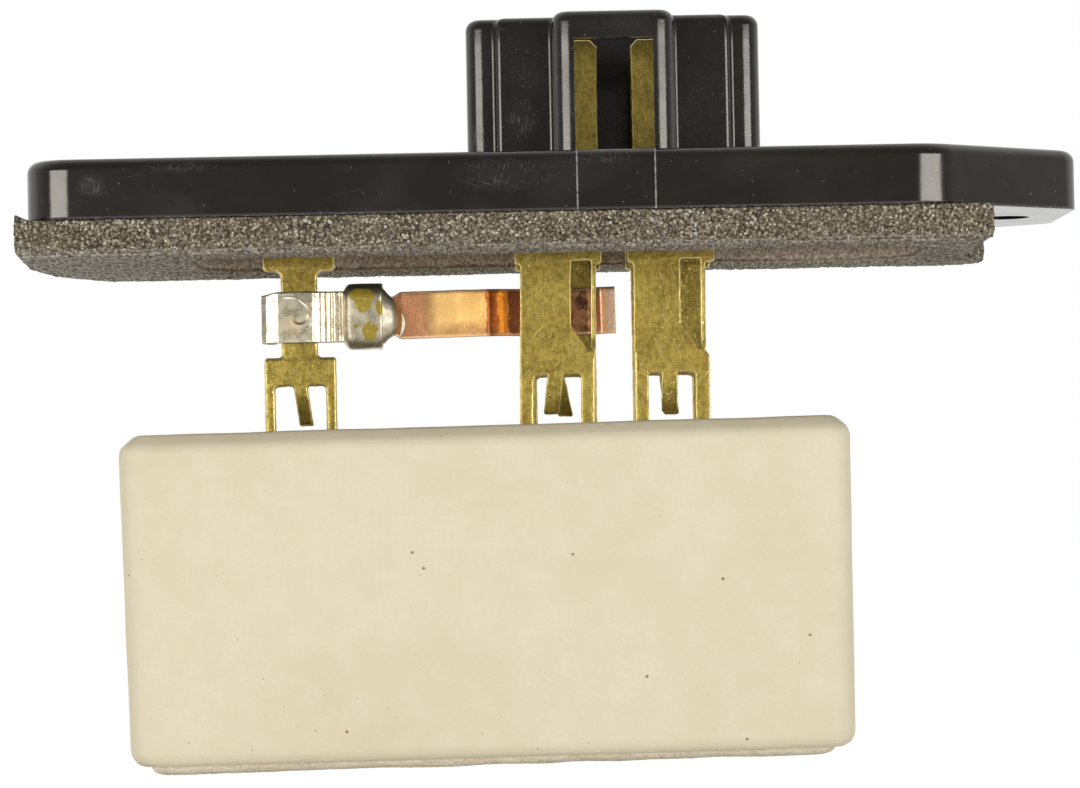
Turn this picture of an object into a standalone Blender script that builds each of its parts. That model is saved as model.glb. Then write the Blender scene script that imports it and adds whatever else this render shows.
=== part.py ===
# Blower motor resistor: a moulded plate with its connector, a foam gasket, brass terminals,
# a soldered thermal fuse and a ceramic block that holds the wire-wound resistances.
# Metres, +Z up, front towards -Y. The origin is the middle of the plate's sealing face.

import math

import bmesh
import bpy
from mathutils import Matrix, Vector

# Fits
GAP = 0.0003                # left between pieces that seat on, pass through or fill each other
WELD = 0.000001             # points closer than this are one
FOLD = math.radians(12)     # an edge that turns by more than this is a corner, not a facet
ROUND_SHARE = 0.45          # most of a side that the round at each of its ends may take

# Mounting plate
PLATE_LENGTH = 0.1029
PLATE_WIDTH = 0.0450
PLATE_HEIGHT = 0.0059
PLATE_CORNER = 0.0046       # corner radius in plan, left end
PLATE_EDGE = 0.0010         # rounding of the upper rim
EAR_LENGTH = 0.01495        # tapered stretch at the right end
EAR_END_WIDTH = 0.0206      # width of the end face before its corners are rounded
EAR_CORNER = 0.0035
EAR_BEND = 0.0060           # radius where the long sides turn into the taper
SCREW_HOLE = 0.0052         # diameter
SCREW_FROM_END = 0.0061     # hole centre to the ear's end

# Terminals, as one stamping each
SHEET = 0.0008              # brass sheet
MIDDLE_X = 0.0
COLUMN_PITCH = 0.0113       # from the middle pair to the right pair
ROW_PITCH = 0.0115          # from the front row to the rear row
BLADE_WIDTH = 0.0079
BLADE_OFFSET = 0.0003       # blade's middle from the stem's middle
BLADE_TIP = 0.0182          # height of the tip over the sealing face
BLADE_CHAMFER = 0.00065
HEAD_WIDTH = 0.0087         # T-head that seats under the plate
HEAD_DEPTH = 0.0042
HEAD_CORNER = 0.00025
STEM_WIDTH = 0.0076
RIGHT_WAIST = 0.00035       # the right pair's stems are drawn in by this at their right edge
WAIST_DEPTH = 0.0131        # depth of the shoulder where they come back to full width
FORK_ROOT = 0.0152          # depth of the fork's root below the sealing face
FORK_LEG = 0.00147          # width of one leg
FORK_INTO_BLOCK = 0.0123    # length of the legs inside the block
TANG_WIDTH = 0.0016
TANG_OFFSET = 0.00025       # the tang stands left of the middle
TANG_LENGTH = 0.0040
TANG_BEND = 0.0012          # how far a tang's tip is bent back
TANG_LEAN = 0.0004          # how far a tip swings sideways
WINDOW_WIDTH = 0.0020
WINDOW_RAIL = 0.0005        # brass left beside the window
WINDOW_TOP = 0.0038         # depth of its upper edge, level with the head
WINDOW_LONG = 0.0097        # long side of the window, at the rail
WINDOW_SHORT = 0.0068       # short side, towards the middle

# Left leg
LEG_X = -0.0263
LEG_HEAD_WIDTH = 0.0074
LEG_NECK_WIDTH = 0.0037
LEG_SHOULDER = 0.01284      # depth of the shoulders under the neck
LEG_FORK_WIDTH = 0.0073
LEG_FORK_ROOT = 0.0158
LEG_FORK_LEG = 0.0011
LEG_TANG_WIDTH = 0.00145
LEG_TANG_LEAN = 0.0005      # how far its tip swings to the right
LEG_STAKE_WIDTH = 0.0040    # tab staked into the plate
LEG_STAKE_LENGTH = 0.0040

# Connector shroud
SHROUD_TOP = 0.0202         # height of its rim over the sealing face
SHROUD_WALL = 0.0012
SHROUD_CORNER = 0.0010
SHROUD_STEP_CORNER = 0.00045    # corner radius at the steps of its front
SHROUD_RIM = 0.00038        # rounding of the rim
SOCKET_SIDE_ROOM = 0.0038   # from the outer blade edges to the inner side walls
SOCKET_FRONT_ROOM = 0.0018  # from the front blades to the inner face of the outer front walls
SOCKET_BACK_ROOM = 0.0033
SOCKET_FLOOR = 0.0055       # height of the socket's floor
STEP_INSET = 0.00295        # from the shroud's sides to the steps in its front
STEP_OUT = 0.00095          # how far the middle stands in front of the outer walls
KEY_WIDTH = 0.0120          # width of the latch housing in the middle
KEY_OUT = 0.00585           # how far it stands in front of the outer walls
LATCH_WIDTH = 0.00775       # window for the plug's latch
LATCH_BAR = 0.00275         # height of the bar above the window
LATCH_SILL = 0.0002         # left between the window and the plate

# Foam gasket
FOAM_HEIGHT = 0.0033
FOAM_LEFT_OUT = 0.0008      # how far the foam stands out of the plate's left end, at the front
FOAM_BULGE = 0.0017         # further out in the middle of that end
FOAM_BACK_CUT = 0.0035      # the back left corner is cut off by this much
FOAM_RIGHT_SHORT = 0.0095   # the foam ends this far before the ear's end
FOAM_BACK_RIGHT = 0.0034    # the back right corner reaches further by this much
FOAM_RIGHT_STEP = 0.0150    # length of the right end that stays straight behind the middle
OPENING_LEFT_ROOM = 0.0070  # room in its opening beside the left leg's head
OPENING_FRONT_ROOM = 0.00695    # in front of the front row
OPENING_BACK_ROOM = 0.00505     # behind the rear row
OPENING_RIGHT_WALL = 0.00555    # foam left beside the opening at the right end
OPENING_CORNER = 0.0060

# Thermal fuse
FUSE_DEPTH = 0.0088         # middle of clip and strip below the sealing face
CLIP_SHEET = 0.0004
CLIP_HEIGHT = 0.0052
CLIP_HOOK = 0.0020          # from the neck's left edge to the outside of the hook
CLIP_HOOK_BACK = 0.0022     # how far the hook reaches behind the leg's middle
CLIP_STEP = 0.0007          # the web steps back by this much beside the neck
CLIP_WEB = 0.0023           # web between the neck and the cup
CUP_LENGTH = 0.0040
CUP_HEIGHT = 0.0067
CUP_DEPTH = 0.0040
CUP_WALL = 0.0004
CUP_CORNER = 0.0017
CUP_EDGE = 0.0007
SOLDER_NOSE = 0.0017        # solder standing out of the cup
SOLDER_NECK = 0.0010        # length over which it draws in before its blunt end
SOLDER_TIP_HEIGHT = 0.0046
CLIP_STAKE = 0.0016         # diameter of the mark staked into the band over the neck
CLIP_STAKE_DEPTH = 0.00015
STRIP_SHEET = 0.00035
STRIP_HEIGHT = 0.0048
STRIP_TAPER = 0.0005        # taken off the strip's end, above and below
STRIP_BEND = 0.0104         # straight stretch before the strip turns back
STRIP_SLOPE = 0.0052        # length over which it runs back to the rear row
STRIP_BEYOND = 0.0020       # how far it passes the terminal's right edge
STRIP_JOGGLE = 0.0009       # its end stands in front of the welded stretch
STRIP_TILT = math.radians(-1.0)
STRIP_IN_SOLDER = 0.0008

# Ceramic block
BLOCK_X = -0.0077
BLOCK_DROP = 0.0202         # depth of its top below the sealing face, in its middle
BLOCK_TILT = math.radians(-0.6)
CASE_LENGTH = 0.0729
CASE_HEIGHT = 0.0330
CASE_WALL = 0.0020
CASE_TAPER = 0.0004         # drawn in on each side at the bottom
CASE_CORNER = 0.0018
CASE_CHAMFER = 0.0016
CASE_FOOT = 0.0013          # rounding of the lower outer rim
CEMENT_COVER = 0.00105      # cement between the fork legs and the long walls
CEMENT_PROUD = 0.0011       # cement standing out of the open bottom
CEMENT_EDGE = 0.0008

# Resistances
CORE_RADIUS = 0.0013
WIRE_RADIUS = 0.00025
WIRE_PITCH = 0.0013
CAP_RADIUS = 0.0022
CAP_LENGTH = 0.0025
CAP_END = 0.0006
ELEMENT_ABOVE_TIP = 0.0033  # middle of the upper resistances over the leg tips
ELEMENT_INSIDE = 0.0013     # the front resistances lie this far inside the front row
CROSS_OVERHANG = 0.0008     # the cross resistance reaches this far past the rows

# Facets
ARC_STEPS = 3               # for small rounds
WIDE_STEPS = 6              # for corners that show in plan
RIM_STEPS = 2               # across a rounded rim
NOSE_STEPS = 5              # along each half of the solder's nose
ROUND_SIDES = 32
TURN_POINTS = 10            # per turn of wire

# Values that follow from these
RIGHT_X = MIDDLE_X + COLUMN_PITCH
FRONT_Y = -ROW_PITCH / 2
REAR_Y = ROW_PITCH / 2
SOCKET_X = (MIDDLE_X + RIGHT_X) / 2 + BLADE_OFFSET / 2
FORK_TIP = BLOCK_DROP + FORK_INTO_BLOCK
CASE_DEPTH = ROW_PITCH + SHEET + 2 * (GAP + CEMENT_COVER + GAP + CASE_WALL)
UPRIGHT = (math.pi / 2, 0, 0)                # drawing plane stands in X and Z, depth along Y
ALONG_X = (math.pi / 2, 0, math.pi / 2)      # drawing plane in Y and Z, depth along X


def start_scene():
    for item in list(bpy.data.objects):
        bpy.data.objects.remove(item, do_unlink=True)
    parts = bpy.data.collections.new("blower_motor_resistor")
    cutters = bpy.data.collections.new("cutters")
    bpy.context.scene.collection.children.link(parts)
    bpy.context.scene.collection.children.link(cutters)
    return parts, cutters


parts, cutters = start_scene()


# Materials

def material(name, colour, roughness, metallic=0.0):
    made = bpy.data.materials.new(name)
    made.use_nodes = True
    shader = made.node_tree.nodes["Principled BSDF"]
    shader.inputs["Base Color"].default_value = (*colour, 1.0)
    shader.inputs["Roughness"].default_value = roughness
    shader.inputs["Metallic"].default_value = metallic
    return made


# Building blocks

def add_object(name, mesh, collection=parts):
    made = bpy.data.objects.new(name, mesh)
    collection.objects.link(made)
    return made


def place(item, location=(0, 0, 0), rotation=(0, 0, 0)):
    item.location = location
    item.rotation_euler = rotation
    return item


def as_cutter(item):
    for holder in list(item.users_collection):
        holder.objects.unlink(item)
    cutters.objects.link(item)
    item.hide_render = True
    item.display_type = "WIRE"
    return item


def mesh_from_curve(name, curve):
    # The caps of a curve are loose, so they are welded once it is a mesh.
    holder = add_object(name + "_curve", curve)
    graph = bpy.context.evaluated_depsgraph_get()
    mesh = bpy.data.meshes.new_from_object(holder.evaluated_get(graph))
    work = bmesh.new()
    work.from_mesh(mesh)
    bmesh.ops.remove_doubles(work, verts=work.verts, dist=WELD)
    work.to_mesh(mesh)
    work.free()
    made = add_object(name, mesh)
    made.matrix_world = holder.matrix_world
    bpy.data.objects.remove(holder, do_unlink=True)
    return made


def add_spline(curve, points, closed):
    spline = curve.splines.new("POLY")
    spline.points.add(len(points) - 1)
    for target, point in zip(spline.points, points):
        x, y, z = (*point, 0.0)[:3]
        target.co = (x, y, z, 1.0)
    spline.use_cyclic_u = closed


def prism(name, outlines, low, high):
    # A flat outline with any holes, drawn in local X and Y, from height low to high.
    curve = bpy.data.curves.new(name, "CURVE")
    curve.dimensions = "2D"
    curve.fill_mode = "BOTH"
    curve.extrude = (high - low) / 2
    for outline in outlines:
        add_spline(curve, outline, True)
    made = mesh_from_curve(name, curve)
    work = bmesh.new()
    work.from_mesh(made.data)
    if len(outlines) == 1:
        for side in (-1, 1):
            cap = [face for face in work.faces if all(vert.co.z * side > 0 for vert in face.verts)]
            bmesh.ops.dissolve_faces(work, faces=cap)
    bmesh.ops.translate(work, verts=work.verts, vec=(0, 0, (low + high) / 2))
    work.to_mesh(made.data)
    work.free()
    return made


def ribbon(name, path, height, thickness):
    # A bent strip of sheet that stands on edge along a path in plan.
    curve = bpy.data.curves.new(name, "CURVE")
    curve.dimensions = "2D"
    curve.fill_mode = "NONE"
    curve.extrude = height / 2
    add_spline(curve, path, False)
    made = mesh_from_curve(name, curve)
    shell = made.modifiers.new("sheet", "SOLIDIFY")
    shell.thickness = thickness
    shell.offset = 0
    shell.use_even_offset = True
    return made


def boxes(name, corner_pairs):
    work = bmesh.new()
    for low, high in corner_pairs:
        low = Vector(low)
        high = Vector(high)
        size = Matrix.Diagonal((*(high - low), 1.0))
        bmesh.ops.create_cube(work, size=1.0, matrix=Matrix.Translation((low + high) / 2) @ size)
    mesh = bpy.data.meshes.new(name)
    work.to_mesh(mesh)
    work.free()
    return add_object(name, mesh)


def cylinders(name, stretches, sides=ROUND_SIDES):
    # Each stretch is a start point, an end point and a radius.
    work = bmesh.new()
    for start, end, radius in stretches:
        start = Vector(start)
        run = Vector(end) - start
        turn = run.to_track_quat("Z", "Y").to_matrix().to_4x4()
        bmesh.ops.create_cone(
            work, cap_ends=True, segments=sides, radius1=radius, radius2=radius,
            depth=run.length, matrix=Matrix.Translation(start + run / 2) @ turn)
    mesh = bpy.data.meshes.new(name)
    work.to_mesh(mesh)
    work.free()
    return add_object(name, mesh)


def combine(item, other, operation):
    step = item.modifiers.new(operation.lower() + "_" + other.name, "BOOLEAN")
    step.operation = operation
    step.solver = "EXACT"
    step.object = as_cutter(other)


def cut(item, cutter):
    combine(item, cutter, "DIFFERENCE")


def join(item, other):
    combine(item, other, "UNION")


def round_edges(item, width, chosen, segments=RIM_STEPS):
    # Rounds the edges whose two ends the test accepts; one segment makes a chamfer.
    work = bmesh.new()
    work.from_mesh(item.data)
    folds = [edge for edge in work.edges if edge.is_manifold and edge.calc_face_angle() > FOLD]
    edges = [edge for edge in folds if all(chosen(end.co) for end in edge.verts)]
    bmesh.ops.bevel(
        work, geom=edges, offset=width, offset_type="OFFSET", segments=segments,
        profile=0.5, affect="EDGES", clamp_overlap=False)
    work.to_mesh(item.data)
    work.free()


def finish(item, surface):
    item.data.materials.append(surface)
    item.data.shade_smooth()
    item.data.set_sharp_from_angle(angle=math.radians(35))
    return item


# Outlines

def arc_at(before, here, after, radius, steps):
    to_before = before - here
    to_after = after - here
    half = to_before.angle(to_after) / 2
    reach = min(radius / math.tan(half), ROUND_SHARE * min(to_before.length, to_after.length))
    radius = reach * math.tan(half)
    middle = here + (to_before.normalized() + to_after.normalized()).normalized() * radius / math.sin(half)
    start = here + to_before.normalized() * reach - middle
    sweep = start.angle_signed(here + to_after.normalized() * reach - middle)
    return [middle + Matrix.Rotation(-sweep * step / steps, 2) @ start for step in range(steps + 1)]


def rounded(corners, closed=True, steps=ARC_STEPS):
    # Each corner is x, y and a radius; a radius of zero keeps it sharp.
    places = [Vector(corner[:2]) for corner in corners]
    points = []
    for index, (x, y, radius) in enumerate(corners):
        at_end = not closed and index in (0, len(corners) - 1)
        if radius <= 0 or at_end:
            points.append(places[index])
            continue
        after = places[(index + 1) % len(places)]
        points.extend(arc_at(places[index - 1], places[index], after, radius, steps))
    return points


def mirrored(right_side):
    # Corners of the right half, top to bottom, and the same for the left half, back up.
    return right_side + [(-x, y, radius) for x, y, radius in reversed(right_side)]


def rectangle(half_x, half_y, radius):
    return mirrored([(half_x, half_y, radius), (half_x, -half_y, radius)])


# Mounting plate with its connector

def plate_outline():
    end = PLATE_LENGTH / 2
    side = PLATE_WIDTH / 2
    back = [
        (-end, side, PLATE_CORNER),
        (end - EAR_LENGTH, side, EAR_BEND),
        (end, EAR_END_WIDTH / 2, EAR_CORNER),
    ]
    front = [(x, -y, radius) for x, y, radius in reversed(back)]
    return rounded(back + front, steps=WIDE_STEPS)


def socket_sizes(inset):
    # Half widths and walls of the shroud's outline, drawn in by the inset.
    outer = COLUMN_PITCH / 2 + BLADE_WIDTH / 2 + SOCKET_SIDE_ROOM + SHROUD_WALL - inset
    front = FRONT_Y - SHEET / 2 - SOCKET_FRONT_ROOM - SHROUD_WALL + inset
    back = REAR_Y + SHEET / 2 + SOCKET_BACK_ROOM + SHROUD_WALL - inset
    return outer, front, back


def socket_outline(inset):
    outer, front, back = socket_sizes(inset)
    corner = max(SHROUD_CORNER - inset, SHROUD_CORNER / 4)
    step = outer - STEP_INSET
    key = KEY_WIDTH / 2 - inset
    right = [
        (outer, back, corner),
        (outer, front, corner),
        (step, front, SHROUD_STEP_CORNER),
        (step, front - STEP_OUT, SHROUD_STEP_CORNER),
        (key, front - STEP_OUT, SHROUD_STEP_CORNER),
        (key, front - KEY_OUT, corner),
    ]
    return [point + Vector((SOCKET_X, 0)) for point in rounded(mirrored(right))]


def make_plate(surface):
    plate = prism("mounting_plate", [plate_outline()], 0, PLATE_HEIGHT)
    round_edges(plate, PLATE_EDGE, lambda co: co.z > PLATE_HEIGHT - GAP / 10, segments=3)

    shroud = prism("shroud_walls", [socket_outline(0)], SOCKET_FLOOR / 2, SHROUD_TOP)
    round_edges(shroud, SHROUD_RIM, lambda co: co.z > SHROUD_TOP - GAP / 10)
    join(plate, shroud)

    above = SHROUD_TOP + SHROUD_WALL
    cut(plate, prism("socket_room", [socket_outline(SHROUD_WALL)], SOCKET_FLOOR, above))

    front = socket_sizes(0)[1] - KEY_OUT
    cut(plate, boxes("latch_window", [(
        (SOCKET_X - LATCH_WIDTH / 2, front - SHROUD_WALL, PLATE_HEIGHT + LATCH_SILL),
        (SOCKET_X + LATCH_WIDTH / 2, front + 2 * SHROUD_WALL, SHROUD_TOP - LATCH_BAR))]))

    below = -SHROUD_WALL
    slots = []
    for column in (MIDDLE_X, RIGHT_X):
        for row in (FRONT_Y, REAR_Y):
            half_width = BLADE_WIDTH / 2 + GAP
            half_sheet = SHEET / 2 + GAP
            middle = column + BLADE_OFFSET
            slots.append((
                (middle - half_width, row - half_sheet, below),
                (middle + half_width, row + half_sheet, PLATE_HEIGHT + SHROUD_WALL)))
    half_stake = LEG_STAKE_WIDTH / 2 + GAP
    slots.append((
        (LEG_X - half_stake, -SHEET / 2 - GAP, below),
        (LEG_X + half_stake, SHEET / 2 + GAP, LEG_STAKE_LENGTH)))
    cut(plate, boxes("terminal_slots", slots))

    hole_x = PLATE_LENGTH / 2 - SCREW_FROM_END
    cut(plate, cylinders("screw_hole", [(
        (hole_x, 0, below), (hole_x, 0, PLATE_HEIGHT + SHROUD_WALL), SCREW_HOLE / 2)]))
    return finish(plate, surface)


# Foam gasket

def make_foam(surface):
    left = -PLATE_LENGTH / 2 - FOAM_LEFT_OUT
    right = PLATE_LENGTH / 2 - FOAM_RIGHT_SHORT
    side = PLATE_WIDTH / 2
    outer = [
        (left, -side, 0.0),
        (left - FOAM_BULGE, 0, side / 2),
        (left - FOAM_BULGE / 2, side / 2, side / 4),
        (left + FOAM_BACK_CUT, side, 0.0),
        (right + FOAM_BACK_RIGHT / 2, side, 0.0),
        (right + FOAM_BACK_RIGHT, side - FOAM_BACK_RIGHT, 0.0),
        (right, side - FOAM_RIGHT_STEP, 0.0),
        (right, -side, 0.0),
    ]
    opening_left = LEG_X - LEG_HEAD_WIDTH / 2 - OPENING_LEFT_ROOM
    opening_right = right - OPENING_RIGHT_WALL
    opening_front = FRONT_Y - SHEET / 2 - OPENING_FRONT_ROOM
    opening_back = REAR_Y + SHEET / 2 + OPENING_BACK_ROOM
    opening = [
        (opening_left, opening_back, OPENING_CORNER),
        (opening_right, opening_back, OPENING_CORNER),
        (opening_right, opening_front, OPENING_CORNER),
        (opening_left, opening_front, OPENING_CORNER),
    ]
    foam = prism("foam_gasket", [rounded(outer), rounded(opening)], -GAP - FOAM_HEIGHT, -GAP)
    return finish(foam, surface)


# Brass stampings, drawn with Y for height

def bend_tang(item, middle, half_width, root, length, lean):
    # The tang swings sideways by lean and back by TANG_BEND at its tip.
    for vert in item.data.vertices:
        drop = -root - vert.co.y
        if 0 < drop <= length + WELD and abs(vert.co.x - middle) <= half_width + WELD:
            vert.co.x += lean * drop / length
            vert.co.z -= TANG_BEND * drop / length


def make_terminal(name, column, row, lean, waist, surface):
    blade_right = BLADE_OFFSET + BLADE_WIDTH / 2
    blade_left = BLADE_OFFSET - BLADE_WIDTH / 2
    head = HEAD_WIDTH / 2
    stem = STEM_WIDTH / 2
    drawn = stem - waist
    shoulder = [(drawn, -WAIST_DEPTH, 0.0), (stem, -WAIST_DEPTH - waist, 0.0)] if waist else []
    leg = stem - FORK_LEG
    tang_right = -TANG_OFFSET + TANG_WIDTH / 2
    tang_left = -TANG_OFFSET - TANG_WIDTH / 2
    tang_tip = -FORK_ROOT - TANG_LENGTH
    small = SHEET / 2
    outline = [
        (blade_left, BLADE_TIP - BLADE_CHAMFER, 0.0),
        (blade_left + BLADE_CHAMFER, BLADE_TIP, 0.0),
        (blade_right - BLADE_CHAMFER, BLADE_TIP, 0.0),
        (blade_right, BLADE_TIP - BLADE_CHAMFER, 0.0),
        (blade_right, -GAP, 0.0),
        (head, -GAP, 0.0),
        (head, -HEAD_DEPTH, HEAD_CORNER),
        (drawn, -HEAD_DEPTH, HEAD_CORNER),
        *shoulder,
        (stem, -FORK_TIP, small),
        (leg, -FORK_TIP, small),
        (leg, -FORK_ROOT, small),
        (tang_right, -FORK_ROOT, small / 2),
        (tang_right, tang_tip, small / 2),
        (tang_left, tang_tip, small / 2),
        (tang_left, -FORK_ROOT, small / 2),
        (-leg, -FORK_ROOT, small),
        (-leg, -FORK_TIP, small),
        (-stem, -FORK_TIP, small),
        (-stem, -HEAD_DEPTH, HEAD_CORNER),
        (-head, -HEAD_DEPTH, HEAD_CORNER),
        (-head, -GAP, 0.0),
        (blade_left, -GAP, 0.0),
    ]
    window_right = drawn - WINDOW_RAIL
    window_left = window_right - WINDOW_WIDTH
    window = [
        (window_left, -WINDOW_TOP, small / 2),
        (window_right, -WINDOW_TOP, small / 2),
        (window_right, -WINDOW_TOP - WINDOW_LONG, 0.0),
        (window_left, -WINDOW_TOP - WINDOW_SHORT, 0.0),
    ]
    terminal = prism(name, [rounded(outline), rounded(window)], -SHEET / 2, SHEET / 2)
    bend_tang(terminal, -TANG_OFFSET, TANG_WIDTH / 2, FORK_ROOT, TANG_LENGTH, lean)
    place(terminal, (column, row, 0), UPRIGHT)
    return finish(terminal, surface)


def make_left_leg(surface):
    stake = LEG_STAKE_WIDTH / 2
    head = LEG_HEAD_WIDTH / 2
    neck = LEG_NECK_WIDTH / 2
    fork = LEG_FORK_WIDTH / 2
    leg = fork - LEG_FORK_LEG
    tang = LEG_TANG_WIDTH / 2
    small = SHEET / 2
    right = [
        (stake, LEG_STAKE_LENGTH - GAP, 0.0),
        (stake, -GAP, 0.0),
        (head, -GAP, 0.0),
        (head, -HEAD_DEPTH, SHEET),
        (neck, -HEAD_DEPTH, SHEET),
        (neck, -LEG_SHOULDER, small),
        (fork, -LEG_SHOULDER, small),
        (fork, -FORK_TIP, small),
        (leg, -FORK_TIP, small),
        (leg, -LEG_FORK_ROOT, small),
        (tang, -LEG_FORK_ROOT, small),
        (tang, -LEG_FORK_ROOT - TANG_LENGTH, small / 2),
    ]
    item = prism("left_leg", [rounded(mirrored(right))], -SHEET / 2, SHEET / 2)
    bend_tang(item, 0, tang, LEG_FORK_ROOT, TANG_LENGTH, LEG_TANG_LEAN)
    place(item, (LEG_X, 0, 0), UPRIGHT)
    return finish(item, surface)


# Thermal fuse: clip with a solder cup, solder, copper strip

def clip_plan():
    # Plan of the clip's sheet from the hook behind the neck to the web at the cup.
    face = -SHEET / 2 - GAP - CLIP_SHEET / 2
    neck = LEG_NECK_WIDTH / 2
    hook = LEG_X - neck - CLIP_HOOK + CLIP_SHEET / 2
    bend = CLIP_HOOK / 2
    return rounded([
        (hook + bend, CLIP_HOOK_BACK, 0.0),
        (hook, CLIP_HOOK_BACK, bend),
        (hook, face + CLIP_STEP, bend),
        (LEG_X - neck - GAP, face, bend),
        (LEG_X + neck + GAP, face, bend / 2),
        (LEG_X + neck + GAP + CLIP_STEP, face + CLIP_STEP, bend / 2),
        (cup_start() + CUP_WALL / 2, face + CLIP_STEP, 0.0),
    ], closed=False)


def cup_start():
    return LEG_X + LEG_NECK_WIDTH / 2 + GAP + CLIP_WEB


def cup_section(inset):
    return rounded(rectangle(CUP_DEPTH / 2 - inset, CUP_HEIGHT / 2 - inset, CUP_CORNER - inset))


def make_clip(surface):
    clip = ribbon("fuse_clip", clip_plan(), CLIP_HEIGHT, CLIP_SHEET)
    place(clip, (0, 0, -FUSE_DEPTH))

    cup = prism("solder_cup", [cup_section(0)], 0, CUP_LENGTH)
    round_edges(cup, CUP_EDGE, lambda co: co.z < GAP / 10)
    place(cup, (cup_start(), 0, -FUSE_DEPTH), ALONG_X)
    join(clip, cup)

    room = prism("cup_room", [cup_section(CUP_WALL)], CUP_WALL, CUP_LENGTH + CUP_WALL)
    place(room, (cup_start(), 0, -FUSE_DEPTH), ALONG_X)
    cut(clip, room)

    front = -SHEET / 2 - GAP - CLIP_SHEET
    cut(clip, cylinders("stake_mark", [(
        (LEG_X, front - CLIP_SHEET, -FUSE_DEPTH), (LEG_X, front + CLIP_STAKE_DEPTH, -FUSE_DEPTH),
        CLIP_STAKE / 2)]))
    return finish(clip, surface)


def strip_start():
    return cup_start() + CUP_LENGTH + SOLDER_NOSE - STRIP_IN_SOLDER


def make_solder(surface):
    # Fills the cup, then draws in like a meniscus to a blunt nose round the strip's end.
    solder = prism("fuse_solder", [cup_section(CUP_WALL + GAP)], CUP_WALL + GAP, CUP_LENGTH)
    place(solder, (cup_start(), 0, -FUSE_DEPTH), ALONG_X)

    wide = CUP_HEIGHT / 2 - CUP_WALL - GAP
    tip = SOLDER_TIP_HEIGHT / 2
    outline = [(0.0, 0.0), (wide, 0.0)]
    for step in range(1, NOSE_STEPS):
        share = step / NOSE_STEPS
        outline.append((tip + (wide - tip) * (1 - share) ** 2, SOLDER_NECK * share))
    for step in range(NOSE_STEPS):
        turn = math.pi / 2 * step / (NOSE_STEPS - 1)
        outline.append((tip * math.cos(turn), SOLDER_NECK + (SOLDER_NOSE - SOLDER_NECK) * math.sin(turn)))
    nose = turned("solder_nose", outline)
    # Revolved round its own axis, then flattened to the cup's section.
    nose.data.transform(Matrix.Diagonal((CUP_DEPTH / CUP_HEIGHT, 1, 1, 1)))
    place(nose, (cup_start() + CUP_LENGTH - GAP, 0, -FUSE_DEPTH), ALONG_X)
    join(solder, nose)

    half_slot = STRIP_SHEET / 2 + GAP
    cut(solder, boxes("strip_slot", [(
        (strip_start() - GAP, -half_slot, -FUSE_DEPTH - STRIP_HEIGHT),
        (strip_start() + SOLDER_NOSE, half_slot, -FUSE_DEPTH + STRIP_HEIGHT))]))
    return finish(solder, surface)


def turned(name, outline):
    # Turns an outline of radius and height, low end first, round local Z.
    mesh = bpy.data.meshes.new(name)
    work = bmesh.new()
    verts = [work.verts.new((radius, 0, height)) for radius, height in outline]
    for lower, upper in zip(verts, verts[1:]):
        work.edges.new((lower, upper))
    bmesh.ops.spin(
        work, geom=work.verts[:] + work.edges[:], cent=(0, 0, 0), axis=(0, 0, 1),
        angle=2 * math.pi, steps=ROUND_SIDES, use_merge=True)
    bmesh.ops.remove_doubles(work, verts=work.verts, dist=WELD)
    bmesh.ops.recalc_face_normals(work, faces=work.faces)
    work.to_mesh(mesh)
    work.free()
    return add_object(name, mesh)


def make_strip(surface):
    # Runs straight from the solder, turns back between the rows and lies on the rear terminal.
    weld_y = REAR_Y - SHEET / 2 - GAP - STRIP_SHEET / 2
    bend_x = strip_start() + STRIP_BEND
    weld_x = bend_x + STRIP_SLOPE
    right = MIDDLE_X + STEM_WIDTH / 2 + STRIP_BEYOND
    path = rounded([
        (strip_start(), 0, 0.0),
        (strip_start() + STRIP_TAPER * 2, 0, 0.0),
        (bend_x, 0, STRIP_BEYOND),
        (weld_x, weld_y, STRIP_BEYOND),
        (right - STRIP_BEYOND, weld_y, STRIP_JOGGLE),
        (right - STRIP_BEYOND / 2, weld_y - STRIP_JOGGLE, STRIP_JOGGLE),
        (right, weld_y - STRIP_JOGGLE, 0.0),
    ], closed=False)
    origin = Vector((strip_start(), 0))
    strip = ribbon("copper_strip", [point - origin for point in path], STRIP_HEIGHT, STRIP_SHEET)
    for vert in strip.data.vertices:
        if vert.co.x < STRIP_TAPER / 2:
            vert.co.z -= math.copysign(STRIP_TAPER, vert.co.z)
    place(strip, (strip_start(), 0, -FUSE_DEPTH), (0, STRIP_TILT, 0))
    return finish(strip, surface)


# Resistances between the fork legs, as start and end points of their middle lines

def element_ends():
    upper = -FORK_TIP + ELEMENT_ABOVE_TIP
    lower = -FORK_TIP - GAP - CAP_RADIUS
    leg_edge = LEG_X + LEG_FORK_WIDTH / 2 + GAP
    middle_edge = MIDDLE_X - STEM_WIDTH / 2 - GAP
    front = FRONT_Y + ELEMENT_INSIDE
    slack = SHEET / 2 * abs(front) / (middle_edge - leg_edge)
    beside = RIGHT_X + STEM_WIDTH / 2 + GAP + CAP_RADIUS
    reach = ROW_PITCH / 2 + CROSS_OVERHANG
    right_edge = RIGHT_X + STEM_WIDTH / 2 + CAP_END
    left_edge = MIDDLE_X - STEM_WIDTH / 2 - CAP_END
    return [
        (Vector((leg_edge + slack, 0, upper)), Vector((middle_edge, front, upper))),
        (Vector((left_edge, front, lower)), Vector((right_edge, front, lower))),
        (Vector((beside, -reach, upper)), Vector((beside, reach, upper))),
    ]


def make_cap(name, outside, inwards, surface):
    # A cup pressed over the core's end, its mouth towards the winding.
    cap = cylinders(name, [(outside, outside + inwards * CAP_LENGTH, CAP_RADIUS)])
    cut(cap, cylinders(name + "_bore", [(
        outside + inwards * CAP_END, outside + inwards * 2 * CAP_LENGTH, CORE_RADIUS + GAP)]))
    return finish(cap, surface)


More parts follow.
